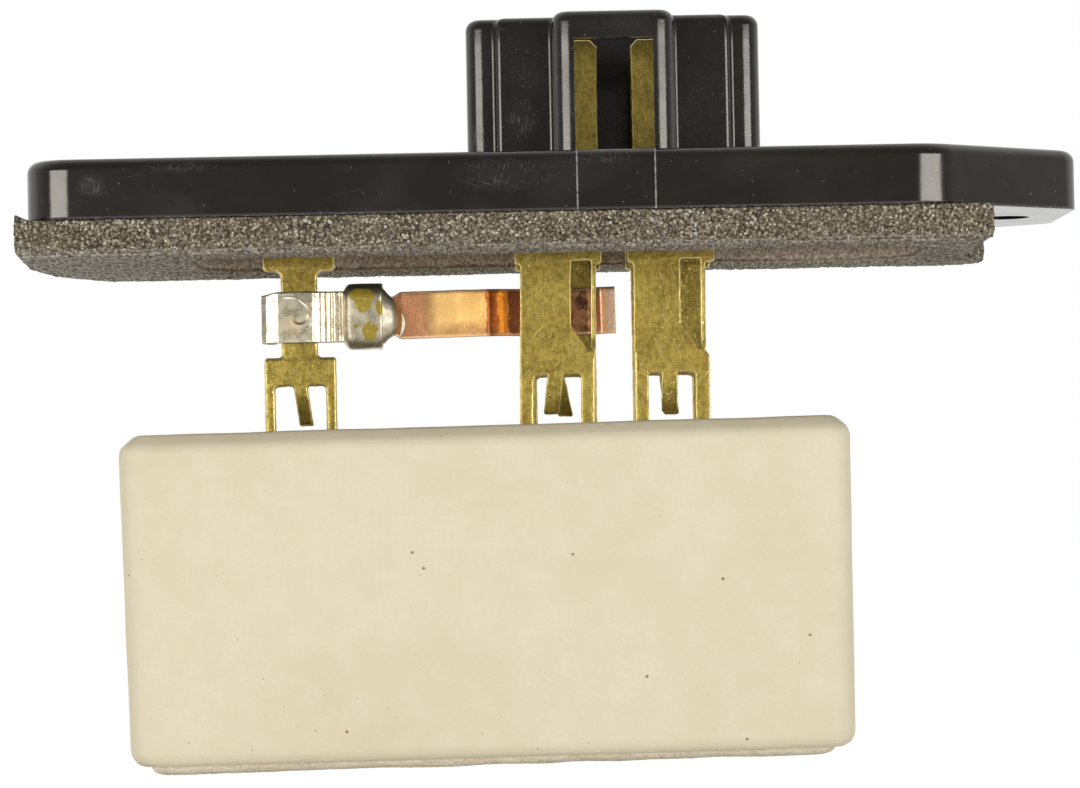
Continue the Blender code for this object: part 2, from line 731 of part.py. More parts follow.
def make_winding(name, start, end, surface):
    run = end - start
    inset = CAP_LENGTH + GAP + WIRE_RADIUS
    length = run.length - 2 * inset
    turns = max(2, round(length / WIRE_PITCH))
    radius = CORE_RADIUS + GAP + WIRE_RADIUS
    curve = bpy.data.curves.new(name, "CURVE")
    curve.dimensions = "3D"
    curve.bevel_depth = WIRE_RADIUS
    curve.bevel_resolution = 2
    curve.use_fill_caps = True
    points = []
    for step in range(turns * TURN_POINTS + 1):
        angle = 2 * math.pi * step / TURN_POINTS
        along = length * step / (turns * TURN_POINTS)
        points.append((radius * math.cos(angle), radius * math.sin(angle), along))
    add_spline(curve, points, False)
    winding = mesh_from_curve(name, curve)
    direction = run.normalized()
    winding.matrix_world = Matrix.Translation(start + direction * inset) @ \
        direction.to_track_quat("Z", "Y").to_matrix().to_4x4()
    return finish(winding, surface)


def make_elements(core_surface, wire_surface, cap_surface):
    for number, (start, end) in enumerate(element_ends(), 1):
        direction = (end - start).normalized()
        inset = direction * (CAP_END + GAP)
        core = cylinders(f"resistor_core_{number}", [(start + inset, end - inset, CORE_RADIUS)])
        finish(core, core_surface)
        make_winding(f"resistor_winding_{number}", start, end, wire_surface)
        make_cap(f"end_cap_{number}_start", start, direction, cap_surface)
        make_cap(f"end_cap_{number}_end", end, -direction, cap_surface)


# Ceramic block

def block_body(name, inset, high, low):
    # A slab of the block's section, drawn in by the inset and tapered towards the bottom.
    section = rectangle(CASE_LENGTH / 2 - inset, CASE_DEPTH / 2 - inset, max(CASE_CORNER - inset, GAP))
    item = prism(name, [rounded(section)], low, high)
    for vert in item.data.vertices:
        drawn = CASE_TAPER * -vert.co.z / CASE_HEIGHT
        vert.co.x -= math.copysign(drawn, vert.co.x)
        vert.co.y -= math.copysign(drawn, vert.co.y)
    return item


def set_block(item):
    return place(item, (BLOCK_X, 0, -BLOCK_DROP), (0, BLOCK_TILT, 0))


def forks():
    # Every fork in the block: its middle in plan, half width and leg width.
    found = [(LEG_X, 0.0, LEG_FORK_WIDTH / 2, LEG_FORK_LEG)]
    for column in (MIDDLE_X, RIGHT_X):
        for row in (FRONT_Y, REAR_Y):
            found.append((column, row, STEM_WIDTH / 2, FORK_LEG))
    return found


def make_case(surface):
    case = block_body("ceramic_case", 0, 0, -CASE_HEIGHT)
    round_edges(case, CASE_CHAMFER, lambda co: co.z > -GAP / 10, segments=1)
    round_edges(case, CASE_FOOT, lambda co: co.z < -CASE_HEIGHT + GAP / 10)
    set_block(case)
    room = block_body("case_room", CASE_WALL, -CASE_WALL, -CASE_HEIGHT - CASE_WALL)
    cut(case, set_block(room))

    slots = []
    half_sheet = SHEET / 2 + GAP
    for x, y, half_width, _ in forks():
        slots.append((
            (x - half_width - GAP, y - half_sheet, -FORK_TIP),
            (x + half_width + GAP, y + half_sheet, -BLOCK_DROP + CASE_WALL)))
    cut(case, boxes("fork_slots", slots))
    return finish(case, surface)


def make_cement(surface):
    inset = CASE_WALL + GAP
    lowest = -CASE_HEIGHT - CEMENT_PROUD
    cement = block_body("cement_fill", inset, -inset, lowest)
    round_edges(cement, CEMENT_EDGE, lambda co: co.z < lowest + GAP / 10)
    set_block(cement)

    sockets = []
    half_sheet = SHEET / 2 + GAP
    for x, y, half_width, leg_width in forks():
        for inner, outer in ((half_width - leg_width, half_width), (-half_width, leg_width - half_width)):
            sockets.append((
                (x + inner - GAP, y - half_sheet, -FORK_TIP - GAP),
                (x + outer + GAP, y + half_sheet, -BLOCK_DROP + CASE_WALL)))
    cut(cement, boxes("leg_sockets", sockets))

    pockets = []
    for start, end in element_ends():
        room = (end - start).normalized() * GAP
        pockets.append((start - room, end + room, CAP_RADIUS + GAP))
    cut(cement, cylinders("element_pockets", pockets))
    return finish(cement, surface)


def build():
    black = material("black_moulding", (0.018, 0.013, 0.012), 0.28)
    grey_foam = material("grey_foam", (0.19, 0.17, 0.14), 0.95)
    brass = material("brass", (0.55, 0.42, 0.12), 0.35, 1.0)
    tinned = material("tinned_brass", (0.62, 0.60, 0.54), 0.32, 1.0)
    solder = material("solder", (0.58, 0.56, 0.50), 0.25, 1.0)
    copper = material("copper", (0.72, 0.33, 0.18), 0.30, 1.0)
    ceramic = material("cream_ceramic", (0.74, 0.68, 0.50), 0.75)
    cement = material("cement", (0.70, 0.66, 0.55), 0.90)
    glass_fibre = material("glass_fibre", (0.80, 0.80, 0.74), 0.80)
    wire = material("resistance_wire", (0.36, 0.35, 0.33), 0.40, 1.0)
    steel = material("cap_steel", (0.56, 0.55, 0.52), 0.40, 1.0)

    make_plate(black)
    make_foam(grey_foam)
    make_terminal("front_middle_terminal", MIDDLE_X, FRONT_Y, -TANG_LEAN, 0, brass)
    make_terminal("rear_middle_terminal", MIDDLE_X, REAR_Y, 2 * TANG_LEAN, 0, brass)
    make_terminal("front_right_terminal", RIGHT_X, FRONT_Y, 0, RIGHT_WAIST, brass)
    make_terminal("rear_right_terminal", RIGHT_X, REAR_Y, TANG_LEAN, RIGHT_WAIST, brass)
    make_left_leg(brass)
    make_clip(tinned)
    make_solder(solder)
    make_strip(copper)
    make_case(ceramic)
    make_cement(cement)
    make_elements(glass_fibre, wire, steel)


build()
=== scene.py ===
# Blower motor resistor: surfaces, soft parts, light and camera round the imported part.
# Sizes are millimetres; a mesh is turned into metres when it is made.
# The frame has +X to the right, +Z up and the front towards -Y.

import math

import bmesh
import bpy
from mathutils import Matrix, Vector, noise
from mathutils.geometry import tessellate_polygon


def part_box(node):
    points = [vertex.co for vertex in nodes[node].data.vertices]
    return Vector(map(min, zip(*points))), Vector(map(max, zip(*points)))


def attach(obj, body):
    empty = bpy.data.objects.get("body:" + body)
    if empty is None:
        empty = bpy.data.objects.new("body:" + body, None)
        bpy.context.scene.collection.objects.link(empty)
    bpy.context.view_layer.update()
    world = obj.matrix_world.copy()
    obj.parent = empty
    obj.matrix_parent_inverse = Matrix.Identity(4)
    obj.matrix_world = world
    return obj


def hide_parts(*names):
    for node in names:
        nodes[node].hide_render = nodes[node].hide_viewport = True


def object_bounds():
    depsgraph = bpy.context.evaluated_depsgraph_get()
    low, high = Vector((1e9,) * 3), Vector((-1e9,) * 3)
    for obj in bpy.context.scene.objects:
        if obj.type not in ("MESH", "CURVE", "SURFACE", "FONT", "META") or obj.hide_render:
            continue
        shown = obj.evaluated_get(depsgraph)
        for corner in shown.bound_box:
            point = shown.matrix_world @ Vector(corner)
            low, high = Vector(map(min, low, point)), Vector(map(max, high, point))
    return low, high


noise.seed_set(4)  # without a seed, noise_vector differs from run to run
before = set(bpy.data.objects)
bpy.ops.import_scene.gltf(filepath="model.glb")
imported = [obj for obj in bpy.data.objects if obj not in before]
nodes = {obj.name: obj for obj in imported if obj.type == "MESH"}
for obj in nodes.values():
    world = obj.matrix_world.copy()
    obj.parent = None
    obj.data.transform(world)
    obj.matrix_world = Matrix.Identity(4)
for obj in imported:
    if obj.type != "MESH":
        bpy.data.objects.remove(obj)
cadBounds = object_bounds()
mm = 0.001


def nodeBox(name):
    low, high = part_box(name)
    return low / mm, high / mm


# Shader building blocks

def addNode(tree, kind, inputs=None, **settings):
    node = tree.nodes.new(kind)
    for setting, value in settings.items():
        setattr(node, setting, value)
    for key, value in (inputs or {}).items():
        if isinstance(value, bpy.types.NodeSocket):
            tree.links.new(value, node.inputs[key])
        else:
            node.inputs[key].default_value = value
    return node


def calc(tree, operation, first, second=0.0, clamp=False):
    inputs = {0: first, 1: second}
    return addNode(tree, "ShaderNodeMath", inputs, operation=operation, use_clamp=clamp).outputs[0]


def remap(tree, value, low, high, lowOut=0.0, highOut=1.0):
    inputs = {"Value": value, "From Min": low, "From Max": high, "To Min": lowOut, "To Max": highOut}
    return addNode(tree, "ShaderNodeMapRange", inputs).outputs["Result"]


def mixColour(tree, factor, first, second):
    return addNode(tree, "ShaderNodeMix", {0: factor, 6: first, 7: second}, data_type="RGBA").outputs[2]


def tinted(tree, colour, other, mask, share):  # takes on a share of the other colour where the mask is
    return mixColour(tree, calc(tree, "MULTIPLY", mask, share), colour, other)


def axes(tree, vector):
    return addNode(tree, "ShaderNodeSeparateXYZ", {0: vector}).outputs


def stretched(tree, position, scale):
    return addNode(tree, "ShaderNodeVectorMath", {0: position, 1: scale}, operation="MULTIPLY").outputs[0]


def noiseAt(tree, position, size, detail=3.0):  # a noise with features of about this size
    inputs = {"Vector": position, "Scale": calc(tree, "DIVIDE", 1.0, size), "Detail": detail}
    return addNode(tree, "ShaderNodeTexNoise", inputs).outputs["Fac"]


def rgb(red, green, blue):
    return (red, green, blue, 1.0)


def newGroup(name, inputs):
    tree = bpy.data.node_groups.new(name, "ShaderNodeTree")
    for label, kind, value in inputs:
        socket = tree.interface.new_socket(label, in_out="INPUT", socket_type="NodeSocket" + kind)
        if value is not None:
            socket.default_value = value
    tree.interface.new_socket("Mask", in_out="OUTPUT", socket_type="NodeSocketFloat")
    return tree, tree.nodes.new("NodeGroupInput").outputs, tree.nodes.new("NodeGroupOutput").inputs


def useGroup(tree, group, **inputs):
    return addNode(tree, "ShaderNodeGroup", inputs, node_tree=group).outputs["Mask"]


def makeClouds():  # soft patches between two limits of a noise
    tree, given, result = newGroup("clouds", [
        ("Position", "Vector", None), ("Size", "Float", 5.0), ("Detail", "Float", 3.0),
        ("Low", "Float", 0.4), ("High", "Float", 0.6)])
    pattern = noiseAt(tree, given["Position"], given["Size"], given["Detail"])
    tree.links.new(remap(tree, pattern, given["Low"], given["High"]), result["Mask"])
    return tree


def makeSpecks():  # scattered round spots, of which only a share is kept
    tree, given, result = newGroup("specks", [
        ("Position", "Vector", None), ("Spacing", "Float", 1.0), ("Radius", "Float", 0.2),
        ("Share", "Float", 0.3)])
    scale = calc(tree, "DIVIDE", 1.0, given["Spacing"])
    cells = addNode(tree, "ShaderNodeTexVoronoi", {"Vector": given["Position"], "Scale": scale})
    apart = calc(tree, "MULTIPLY", cells.outputs["Distance"], given["Spacing"])
    picked = addNode(tree, "ShaderNodeSeparateColor", {0: cells.outputs["Color"]}).outputs
    reach = calc(tree, "MULTIPLY", given["Radius"], picked["Green"])
    spot = calc(tree, "LESS_THAN", apart, reach)
    kept = calc(tree, "LESS_THAN", picked["Red"], given["Share"])
    tree.links.new(calc(tree, "MULTIPLY", spot, kept), result["Mask"])
    return tree


def makeScratches():  # thin streaks along the turned first axis
    tree, given, result = newGroup("scratches", [
        ("Position", "Vector", None), ("Turn", "Float", 0.0), ("Length", "Float", 6.0),
        ("Width", "Float", 0.15), ("Share", "Float", 0.1)])
    turned = addNode(tree, "ShaderNodeVectorRotate", {
        "Vector": given["Position"], "Angle": given["Turn"]}, rotation_type="Y_AXIS")
    long = calc(tree, "DIVIDE", 1.0, given["Length"])
    thin = calc(tree, "DIVIDE", 1.0, given["Width"])
    stretch = addNode(tree, "ShaderNodeCombineXYZ", {0: long, 1: long, 2: thin})
    drawn = stretched(tree, turned.outputs[0], stretch.outputs[0])
    least = calc(tree, "SUBTRACT", 0.78, given["Share"])
    mask = remap(tree, noiseAt(tree, drawn, 1.0, 2.0), least, calc(tree, "ADD", least, 0.05))
    tree.links.new(mask, result["Mask"])
    return tree


def makeEdgeWearAndHighlight():  # bright where the mesh says edge, broken up by a noise: for worn edges, and for painted highlights along edges
    tree, given, result = newGroup("edge wear and highlight", [
        ("Edge", "Float", 0.0), ("Position", "Vector", None), ("Size", "Float", 1.0),
        ("Breakup", "Float", 0.5)])
    pattern = noiseAt(tree, given["Position"], given["Size"])
    broken = calc(tree, "MULTIPLY", pattern, given["Breakup"])
    mask = remap(tree, calc(tree, "SUBTRACT", given["Edge"], broken), 0.1, 0.5)
    tree.links.new(mask, result["Mask"])
    return tree


def makeSpot():  # one ragged round patch at its place in X and Z
    tree, given, result = newGroup("spot", [
        ("Position", "Vector", None), ("X", "Float", 0.0), ("Z", "Float", 0.0),
        ("Half width", "Float", 1.0), ("Half height", "Float", 1.0),
        ("Ragged", "Float", 0.6), ("Ragged size", "Float", 0.7), ("Soft", "Float", 0.1)])
    parts = axes(tree, given["Position"])
    across = calc(tree, "DIVIDE", calc(tree, "SUBTRACT", parts["X"], given["X"]), given["Half width"])
    along = calc(tree, "DIVIDE", calc(tree, "SUBTRACT", parts["Z"], given["Z"]), given["Half height"])
    squares = [calc(tree, "POWER", calc(tree, "ABSOLUTE", side), 2.0) for side in (across, along)]
    apart = calc(tree, "SQRT", calc(tree, "ADD", *squares))
    shifted = calc(tree, "SUBTRACT", noiseAt(tree, given["Position"], given["Ragged size"]), 0.5)
    apart = calc(tree, "ADD", apart, calc(tree, "MULTIPLY", shifted, given["Ragged"]))
    outer = calc(tree, "ADD", 1.0, given["Soft"])
    inner = calc(tree, "SUBTRACT", 1.0, given["Soft"])
    tree.links.new(remap(tree, apart, outer, inner), result["Mask"])
    return tree


clouds = makeClouds()
specks = makeSpecks()
scratches = makeScratches()
edgeWearAndHighlight = makeEdgeWearAndHighlight()
spot = makeSpot()


def spotMask(tree, at, spots):  # the strongest of several spots
    total = None
    for x, z, halfWidth, halfHeight, ragged, soft in spots:
        values = {"X": x, "Z": z, "Half width": halfWidth, "Half height": halfHeight,
                  "Ragged": ragged, "Soft": soft}
        here = useGroup(tree, spot, Position=at, **values)
        total = here if total is None else calc(tree, "MAXIMUM", total, here)
    return total


def newMaterial(name, **values):
    material = bpy.data.materials.new(name)
    material.use_nodes = True
    tree = material.node_tree
    shader = tree.nodes["Principled BSDF"]
    for label, value in values.items():
        shader.inputs[label.replace("_", " ")].default_value = value
    place = addNode(tree, "ShaderNodeTexCoord").outputs["Object"]
    position = addNode(tree, "ShaderNodeVectorMath", {0: place, "Scale": 1.0 / mm}, operation="SCALE")
    return material, tree, shader, position.outputs[0]


def connect(tree, shader, colour=None, roughness=None, normal=None):
    for label, value in (("Base Color", colour), ("Roughness", roughness), ("Normal", normal)):
        if value is not None:
            tree.links.new(value, shader.inputs[label])


def bump(tree, height, depth, under=None):  # depth in millimetres
    inputs = {"Height": height, "Distance": depth * mm, "Strength": 1.0}
    if under is not None:
        inputs["Normal"] = under
    return addNode(tree, "ShaderNodeBump", inputs).outputs["Normal"]


def edgeValue(tree):
    return addNode(tree, "ShaderNodeAttribute", attribute_name="edge").outputs["Fac"]


# Materials

blackFinish = {
    "deep": rgb(0.0085, 0.0070, 0.0062),
    "scuffed": rgb(0.034, 0.030, 0.027),
    "pale": rgb(0.33, 0.32, 0.29),
    "dust": rgb(0.36, 0.34, 0.30),
    "gloss": 0.15,
    "scuffedGloss": 0.38,
    # dusty and rubbed places on the front: x, z, half width, half height, ragged, soft. The second haze, over
    # the window, is partly painted light: it also lightens the shaded inside of the connector seen through
    # the window.
    "hazes": [(5.7, 18.9, 5.2, 1.7, 0.7, 0.5), (5.8, 12.0, 3.4, 6.0, 0.5, 0.5),
              (-4.5, 16.0, 4.0, 3.0, 0.9, 0.6), (15.5, 11.0, 4.0, 6.0, 0.9, 0.6)],
    "rubs": [(-5.0, 3.6, 3.6, 1.3, 0.9, 0.6), (-7.9, 8.3, 0.75, 1.6, 0.9, 0.3),
             (-3.3, 10.0, 1.4, 1.7, 0.9, 0.4), (4.0, 4.9, 3.0, 0.4, 0.9, 0.6),
             (-36.3, 4.9, 2.8, 0.4, 0.9, 0.4), (-44.8, 3.2, 1.2, 0.9, 0.9, 0.4)],
}


def makeBlackMoulding():
    material, tree, shader, at = newMaterial("black moulding", Specular_IOR_Level=0.62,
                                             Specular_Tint=rgb(1.0, 0.95, 0.86))
    smear = useGroup(tree, clouds, Position=at, Size=7.0, Detail=5.0, Low=0.48, High=0.72)
    hairs = useGroup(tree, scratches, Position=at, Turn=0.25, Length=5.0, Width=0.10, Share=0.11)
    strokes = useGroup(tree, scratches, Position=at, Turn=1.45, Length=1.6, Width=0.12, Share=0.18)
    fan = useGroup(tree, scratches, Position=at, Turn=-0.35, Length=3.4, Width=0.14, Share=0.14)
    rubbed = spotMask(tree, at, blackFinish["rubs"])
    dust = useGroup(tree, specks, Position=at, Spacing=0.55, Radius=0.085, Share=0.55)
    haze = spotMask(tree, at, blackFinish["hazes"])
    powder = useGroup(tree, clouds, Position=at, Size=0.20, Detail=3.0, Low=0.50, High=0.72)
    line = useGroup(tree, edgeWearAndHighlight, Edge=edgeValue(tree), Position=at, Size=0.35, Breakup=1.05)
    worked = calc(tree, "MULTIPLY", rubbed, calc(tree, "MAXIMUM", strokes, fan))
    scuffs = calc(tree, "MAXIMUM", calc(tree, "MULTIPLY", smear, 0.22), calc(tree, "MULTIPLY", hairs, 0.30))
    scuffs = calc(tree, "MAXIMUM", scuffs, calc(tree, "MULTIPLY", rubbed, 0.20))
    colour = mixColour(tree, scuffs, blackFinish["deep"], blackFinish["scuffed"])
    colour = tinted(tree, colour, blackFinish["pale"], worked, 0.13)
    misty = calc(tree, "ADD", calc(tree, "MULTIPLY", haze, 0.030), 0.001)
    misty = calc(tree, "MULTIPLY", misty, calc(tree, "ADD", powder, 0.35))
    colour = mixColour(tree, misty, colour, blackFinish["dust"])
    colour = tinted(tree, colour, blackFinish["dust"], dust, 0.40)
    # pale lines where the mesh says edge: the witness lines, a line along the skirt's foot, and painted
    # highlights along the window's sides
    colour = tinted(tree, colour, blackFinish["pale"], line, 0.75)
    rough = calc(tree, "MAXIMUM", calc(tree, "MAXIMUM", scuffs, worked), line)
    roughness = remap(tree, rough, 0.0, 1.0, blackFinish["gloss"], blackFinish["scuffedGloss"])
    sink = useGroup(tree, clouds, Position=at, Size=3.0, Detail=1.0, Low=0.0, High=1.0)
    grain = useGroup(tree, clouds, Position=at, Size=0.22, Detail=2.0, Low=0.3, High=0.7)
    drag = useGroup(tree, scratches, Position=at, Turn=0.0, Length=1.6, Width=0.13, Share=0.24)
    normal = bump(tree, calc(tree, "ADD", grain, calc(tree, "MULTIPLY", drag, 0.22)), 0.0020,
                  bump(tree, sink, 0.03))
    connect(tree, shader, colour, roughness, normal)
    return material


foamFinish = {
    "body": rgb(0.285, 0.232, 0.150),
    "lit": rgb(0.97, 0.87, 0.67),
    "cell": rgb(0.026, 0.019, 0.011),
    "glint": rgb(0.86, 0.83, 0.75),
    "litUnderside": rgb(1.0, 0.95, 0.86),
    "undersideDark": rgb(0.36, 0.305, 0.25),
    "inside": rgb(0.82, 0.67, 0.56),
    "cellSize": 0.32,
    "drawnOut": (1.0, 0.11, 1.0),  # how the underside's cells are stretched
}


def foamGrain(tree, at):  # colour and height of cut cells; the cells' hollows are darkened with painted shade
    size = foamFinish["cellSize"]
    cells = addNode(tree, "ShaderNodeTexVoronoi", {"Vector": at, "Scale": 1.0 / size}).outputs["Distance"]
    hollow = remap(tree, cells, 0.38, 0.60)
    fine = useGroup(tree, clouds, Position=at, Size=0.16, Detail=3.0, Low=0.40, High=0.60)
    tone = useGroup(tree, clouds, Position=at, Size=0.40, Detail=3.0, Low=0.42, High=0.60)
    glints = useGroup(tree, specks, Position=at, Spacing=0.45, Radius=0.17, Share=0.42)
    colour = tinted(tree, foamFinish["body"], foamFinish["lit"], tone, fine)
    holes = calc(tree, "MULTIPLY", hollow, calc(tree, "ADD", fine, 0.3), clamp=True)
    colour = mixColour(tree, holes, colour, foamFinish["cell"])
    colour = tinted(tree, colour, foamFinish["glint"], glints, 0.8)
    return colour, calc(tree, "SUBTRACT", fine, hollow)


def makeFoamSurface():
    material, tree, shader, at = newMaterial("grey foam", Roughness=0.9, Specular_IOR_Level=0.3)
    wall, height = foamGrain(tree, at)
    broad = useGroup(tree, clouds, Position=at, Size=7.0, Detail=2.0, Low=0.3, High=0.7)
    wall = tinted(tree, wall, foamFinish["body"], broad, 0.20)
    # The underside has its cells drawn out along Y, and it is painted lighter: painted light, standing in for
    # the light it gets from the floor below.
    drawn = stretched(tree, at, foamFinish["drawnOut"])
    litUnderside = foamGrain(tree, drawn)[0]
    blots = useGroup(tree, clouds, Position=drawn, Size=0.32, Detail=3.0, Low=0.44, High=0.56)
    smooth = mixColour(tree, blots, foamFinish["undersideDark"], foamFinish["litUnderside"])
    litUnderside = mixColour(tree, remap(tree, axes(tree, at)["X"], -42.0, -34.0, 0.70, 0.50), litUnderside, smooth)
    facing = addNode(tree, "ShaderNodeTexCoord").outputs["Normal"]
    under = remap(tree, axes(tree, facing)["Z"], -0.25, -0.85)
    colour = mixColour(tree, under, wall, litUnderside)
    # Painted light: the opening's inner walls, which lie in shade, are made lighter with the inside colour,
    # standing in for light that reaches them.
    pores = useGroup(tree, clouds, Position=at, Size=0.30, Detail=3.0, Low=0.42, High=0.58)
    inside = tinted(tree, foamFinish["inside"], foamFinish["body"], pores, 0.75)
    colour = tinted(tree, colour, inside, edgeValue(tree), 0.9)
    height = calc(tree, "MULTIPLY", height, remap(tree, edgeValue(tree), 0.0, 1.0, 1.0, 0.4))
    connect(tree, shader, colour, normal=bump(tree, height, 0.13))
    return material


brassFinish = {
    "face": rgb(0.382, 0.286, 0.060),
    "tarnish": rgb(0.110, 0.077, 0.010),
    "shaded": rgb(0.035, 0.022, 0.004),
    "warm": rgb(0.31, 0.165, 0.030),
    "bright": rgb(0.95, 0.80, 0.36),
}


def makeBrass():
    material, tree, shader, at = newMaterial("brass", Metallic=0.85, Specular_IOR_Level=0.5)
    patches = useGroup(tree, clouds, Position=at, Size=3.2, Detail=4.0, Low=0.40, High=0.66)
    warm = useGroup(tree, clouds, Position=at, Size=6.0, Detail=3.0, Low=0.52, High=0.72)
    grain = useGroup(tree, clouds, Position=at, Size=0.15, Detail=3.0, Low=0.40, High=0.62)
    brushed = useGroup(tree, scratches, Position=at, Turn=1.571, Length=1.6, Width=0.09, Share=0.29)
    flecks = useGroup(tree, specks, Position=at, Spacing=0.27, Radius=0.085, Share=0.34)
    rubs = useGroup(tree, scratches, Position=at, Turn=1.9, Length=3.4, Width=0.08, Share=0.10)
    cross = useGroup(tree, scratches, Position=at, Turn=0.75, Length=2.6, Width=0.08, Share=0.10)
    edge = useGroup(tree, edgeWearAndHighlight, Edge=edgeValue(tree), Position=at, Size=0.5, Breakup=0.85)
    dark = calc(tree, "ADD", calc(tree, "MULTIPLY", patches, 0.24), calc(tree, "MULTIPLY", grain, 0.34))
    mottle = useGroup(tree, clouds, Position=at, Size=0.55, Detail=3.0, Low=0.44, High=0.60)
    dark = calc(tree, "ADD", dark, calc(tree, "MULTIPLY", mottle, 0.30))
    dark = calc(tree, "ADD", dark, calc(tree, "MULTIPLY", brushed, 0.18), clamp=True)
    lines = calc(tree, "MULTIPLY", calc(tree, "MAXIMUM", rubs, cross), 0.34)
    bright = calc(tree, "MAXIMUM", lines, calc(tree, "MULTIPLY", flecks, 0.72))
    # the edges are made bright: partly wear, partly a painted highlight along the sheared edges
    bright = calc(tree, "MAXIMUM", bright, calc(tree, "MULTIPLY", edge, 0.60))
    colour = mixColour(tree, dark, brassFinish["face"], brassFinish["tarnish"])
    colour = tinted(tree, colour, brassFinish["warm"], warm, 0.35)
    colour = mixColour(tree, bright, colour, brassFinish["bright"])
    # Painted shade: the rear blades, deep in the connector, are darkened to the shaded colour where little
    # light reaches them.
    parts = axes(tree, at)
    deep = calc(tree, "MULTIPLY", remap(tree, parts["Y"], 4.0, 5.0), remap(tree, parts["Z"], 5.0, 6.0))
    colour = tinted(tree, colour, brassFinish["shaded"], deep, 0.9)
    roughness = remap(tree, bright, 0.0, 1.0, 0.38, 0.26)
    wave = useGroup(tree, clouds, Position=at, Size=1.8, Detail=2.0, Low=0.0, High=1.0)
    normal = bump(tree, calc(tree, "SUBTRACT", grain, rubs), 0.008, bump(tree, wave, 0.06))
    connect(tree, shader, colour, roughness, normal)
    return material


fluxFinish = {
    "amber": rgb(0.20, 0.142, 0.007),
    "pale": rgb(0.56, 0.39, 0.035),
    # x, z, half width, half height, ragged, soft
    "spots": [(-19.85, -6.80, 1.20, 0.80, 0.7, 0.05), (-19.75, -7.6, 0.85, 0.80, 0.7, 0.05),
              (-19.1, -10.4, 0.74, 0.90, 1.3, 0.08), (-20.55, -9.85, 0.26, 0.22, 1.2, 0.10),
              (-18.1, -8.0, 0.34, 0.75, 1.2, 0.12)],
}
tinFinish = {
    "clean": rgb(0.60, 0.54, 0.405),
    "dull": rgb(0.22, 0.195, 0.13),
    "tan": rgb(0.70, 0.50, 0.26),
    "shade": rgb(0.20, 0.185, 0.13),
    "scratched": rgb(0.92, 0.88, 0.76),
    "scar": [(-27.4, -9.15, 2.42, 2.42, 0.10, 0.012)],
    "scarInside": [(-27.4, -9.15, 2.31, 2.31, 0.10, 0.012)],
    "scarReach": [(-26.6, -6.95, 1.9, 1.2, 0.3, 0.3)],
    "tanFolds": [(-23.2, -8.8, 0.95, 3.2, 0.5, 0.3), (-27.0, -9.6, 0.8, 0.7, 0.9, 0.6)],
    "shaded": [(-25.6, -6.6, 1.15, 0.80, 0.5, 0.15), (-19.9, -5.7, 2.4, 0.55, 0.4, 0.3)],
    "dulled": [(-19.9, -8.8, 2.1, 3.4, 0.3, 0.25), (-26.7, -8.8, 1.7, 2.7, 0.5, 0.3)],
}


def makeTinPlate():
    material, tree, shader, at = newMaterial("tinned brass", Metallic=0.92)
    patches = useGroup(tree, clouds, Position=at, Size=1.1, Detail=4.0, Low=0.42, High=0.64)
    grain = useGroup(tree, clouds, Position=at, Size=0.10, Detail=2.0, Low=0.38, High=0.66)
    rubs = useGroup(tree, scratches, Position=at, Turn=1.5, Length=2.6, Width=0.12, Share=0.20)
    edge = useGroup(tree, edgeWearAndHighlight, Edge=edgeValue(tree), Position=at, Size=0.4, Breakup=0.5)
    dark = calc(tree, "ADD", calc(tree, "MULTIPLY", patches, 0.45), calc(tree, "MULTIPLY", grain, 0.35))
    dulled = spotMask(tree, at, tinFinish["dulled"])
    dark = calc(tree, "ADD", dark, calc(tree, "MULTIPLY", dulled, 0.42), clamp=True)
    colour = mixColour(tree, dark, tinFinish["clean"], tinFinish["dull"])
    streaks = remap(tree, rubs, 0.0, 1.0, 0.25, 0.8)
    folds = calc(tree, "MULTIPLY", spotMask(tree, at, tinFinish["tanFolds"]), streaks)
    colour = mixColour(tree, folds, colour, tinFinish["tan"])
    colour = tinted(tree, colour, tinFinish["shade"], spotMask(tree, at, tinFinish["shaded"]), 0.75)
    colour = tinted(tree, colour, tinFinish["clean"], edge, 0.5)
    scar, inside = (spotMask(tree, at, tinFinish[name]) for name in ("scar", "scarInside"))
    scar = calc(tree, "SUBTRACT", scar, inside)
    scar = calc(tree, "MULTIPLY", scar, spotMask(tree, at, tinFinish["scarReach"]), clamp=True)
    colour = tinted(tree, colour, tinFinish["scratched"], scar, remap(tree, patches, 0.9, 0.2))
    flux = spotMask(tree, at, fluxFinish["spots"])
    sparkle = useGroup(tree, specks, Position=at, Spacing=0.22, Radius=0.10, Share=0.30)
    amber = mixColour(tree, calc(tree, "MAXIMUM", calc(tree, "MULTIPLY", grain, 0.55), sparkle),
                      fluxFinish["amber"], fluxFinish["pale"])
    colour = mixColour(tree, flux, colour, amber)
    satin = calc(tree, "MULTIPLY", dulled, 0.16)
    roughness = calc(tree, "ADD", remap(tree, dark, 0.0, 1.0, 0.20, 0.30), satin)
    wave = useGroup(tree, clouds, Position=at, Size=0.7, Detail=2.0, Low=0.0, High=1.0)
    normal = bump(tree, calc(tree, "ADD", grain, flux), 0.006, bump(tree, wave, 0.015))
    tree.links.new(remap(tree, flux, 0.0, 1.0, 0.92, 0.25), shader.inputs["Metallic"])
    connect(tree, shader, colour, roughness, normal)
    return material


solderFinish = {
    "clean": rgb(0.50, 0.455, 0.345),
    "dull": rgb(0.34, 0.30, 0.21),
}


def makeSolder():
    material, tree, shader, at = newMaterial("solder", Metallic=0.95)
    patches = useGroup(tree, clouds, Position=at, Size=0.9, Detail=3.0, Low=0.46, High=0.70)
    colour = tinted(tree, solderFinish["clean"], solderFinish["dull"], patches, 0.7)
    flux = spotMask(tree, at, fluxFinish["spots"])
    colour = tinted(tree, colour, fluxFinish["pale"], flux, 0.7)
    roughness = remap(tree, patches, 0.0, 1.0, 0.42, 0.52)
    wave = useGroup(tree, clouds, Position=at, Size=0.7, Detail=1.0, Low=0.0, High=1.0)
    connect(tree, shader, colour, roughness, bump(tree, wave, 0.03))
    return material


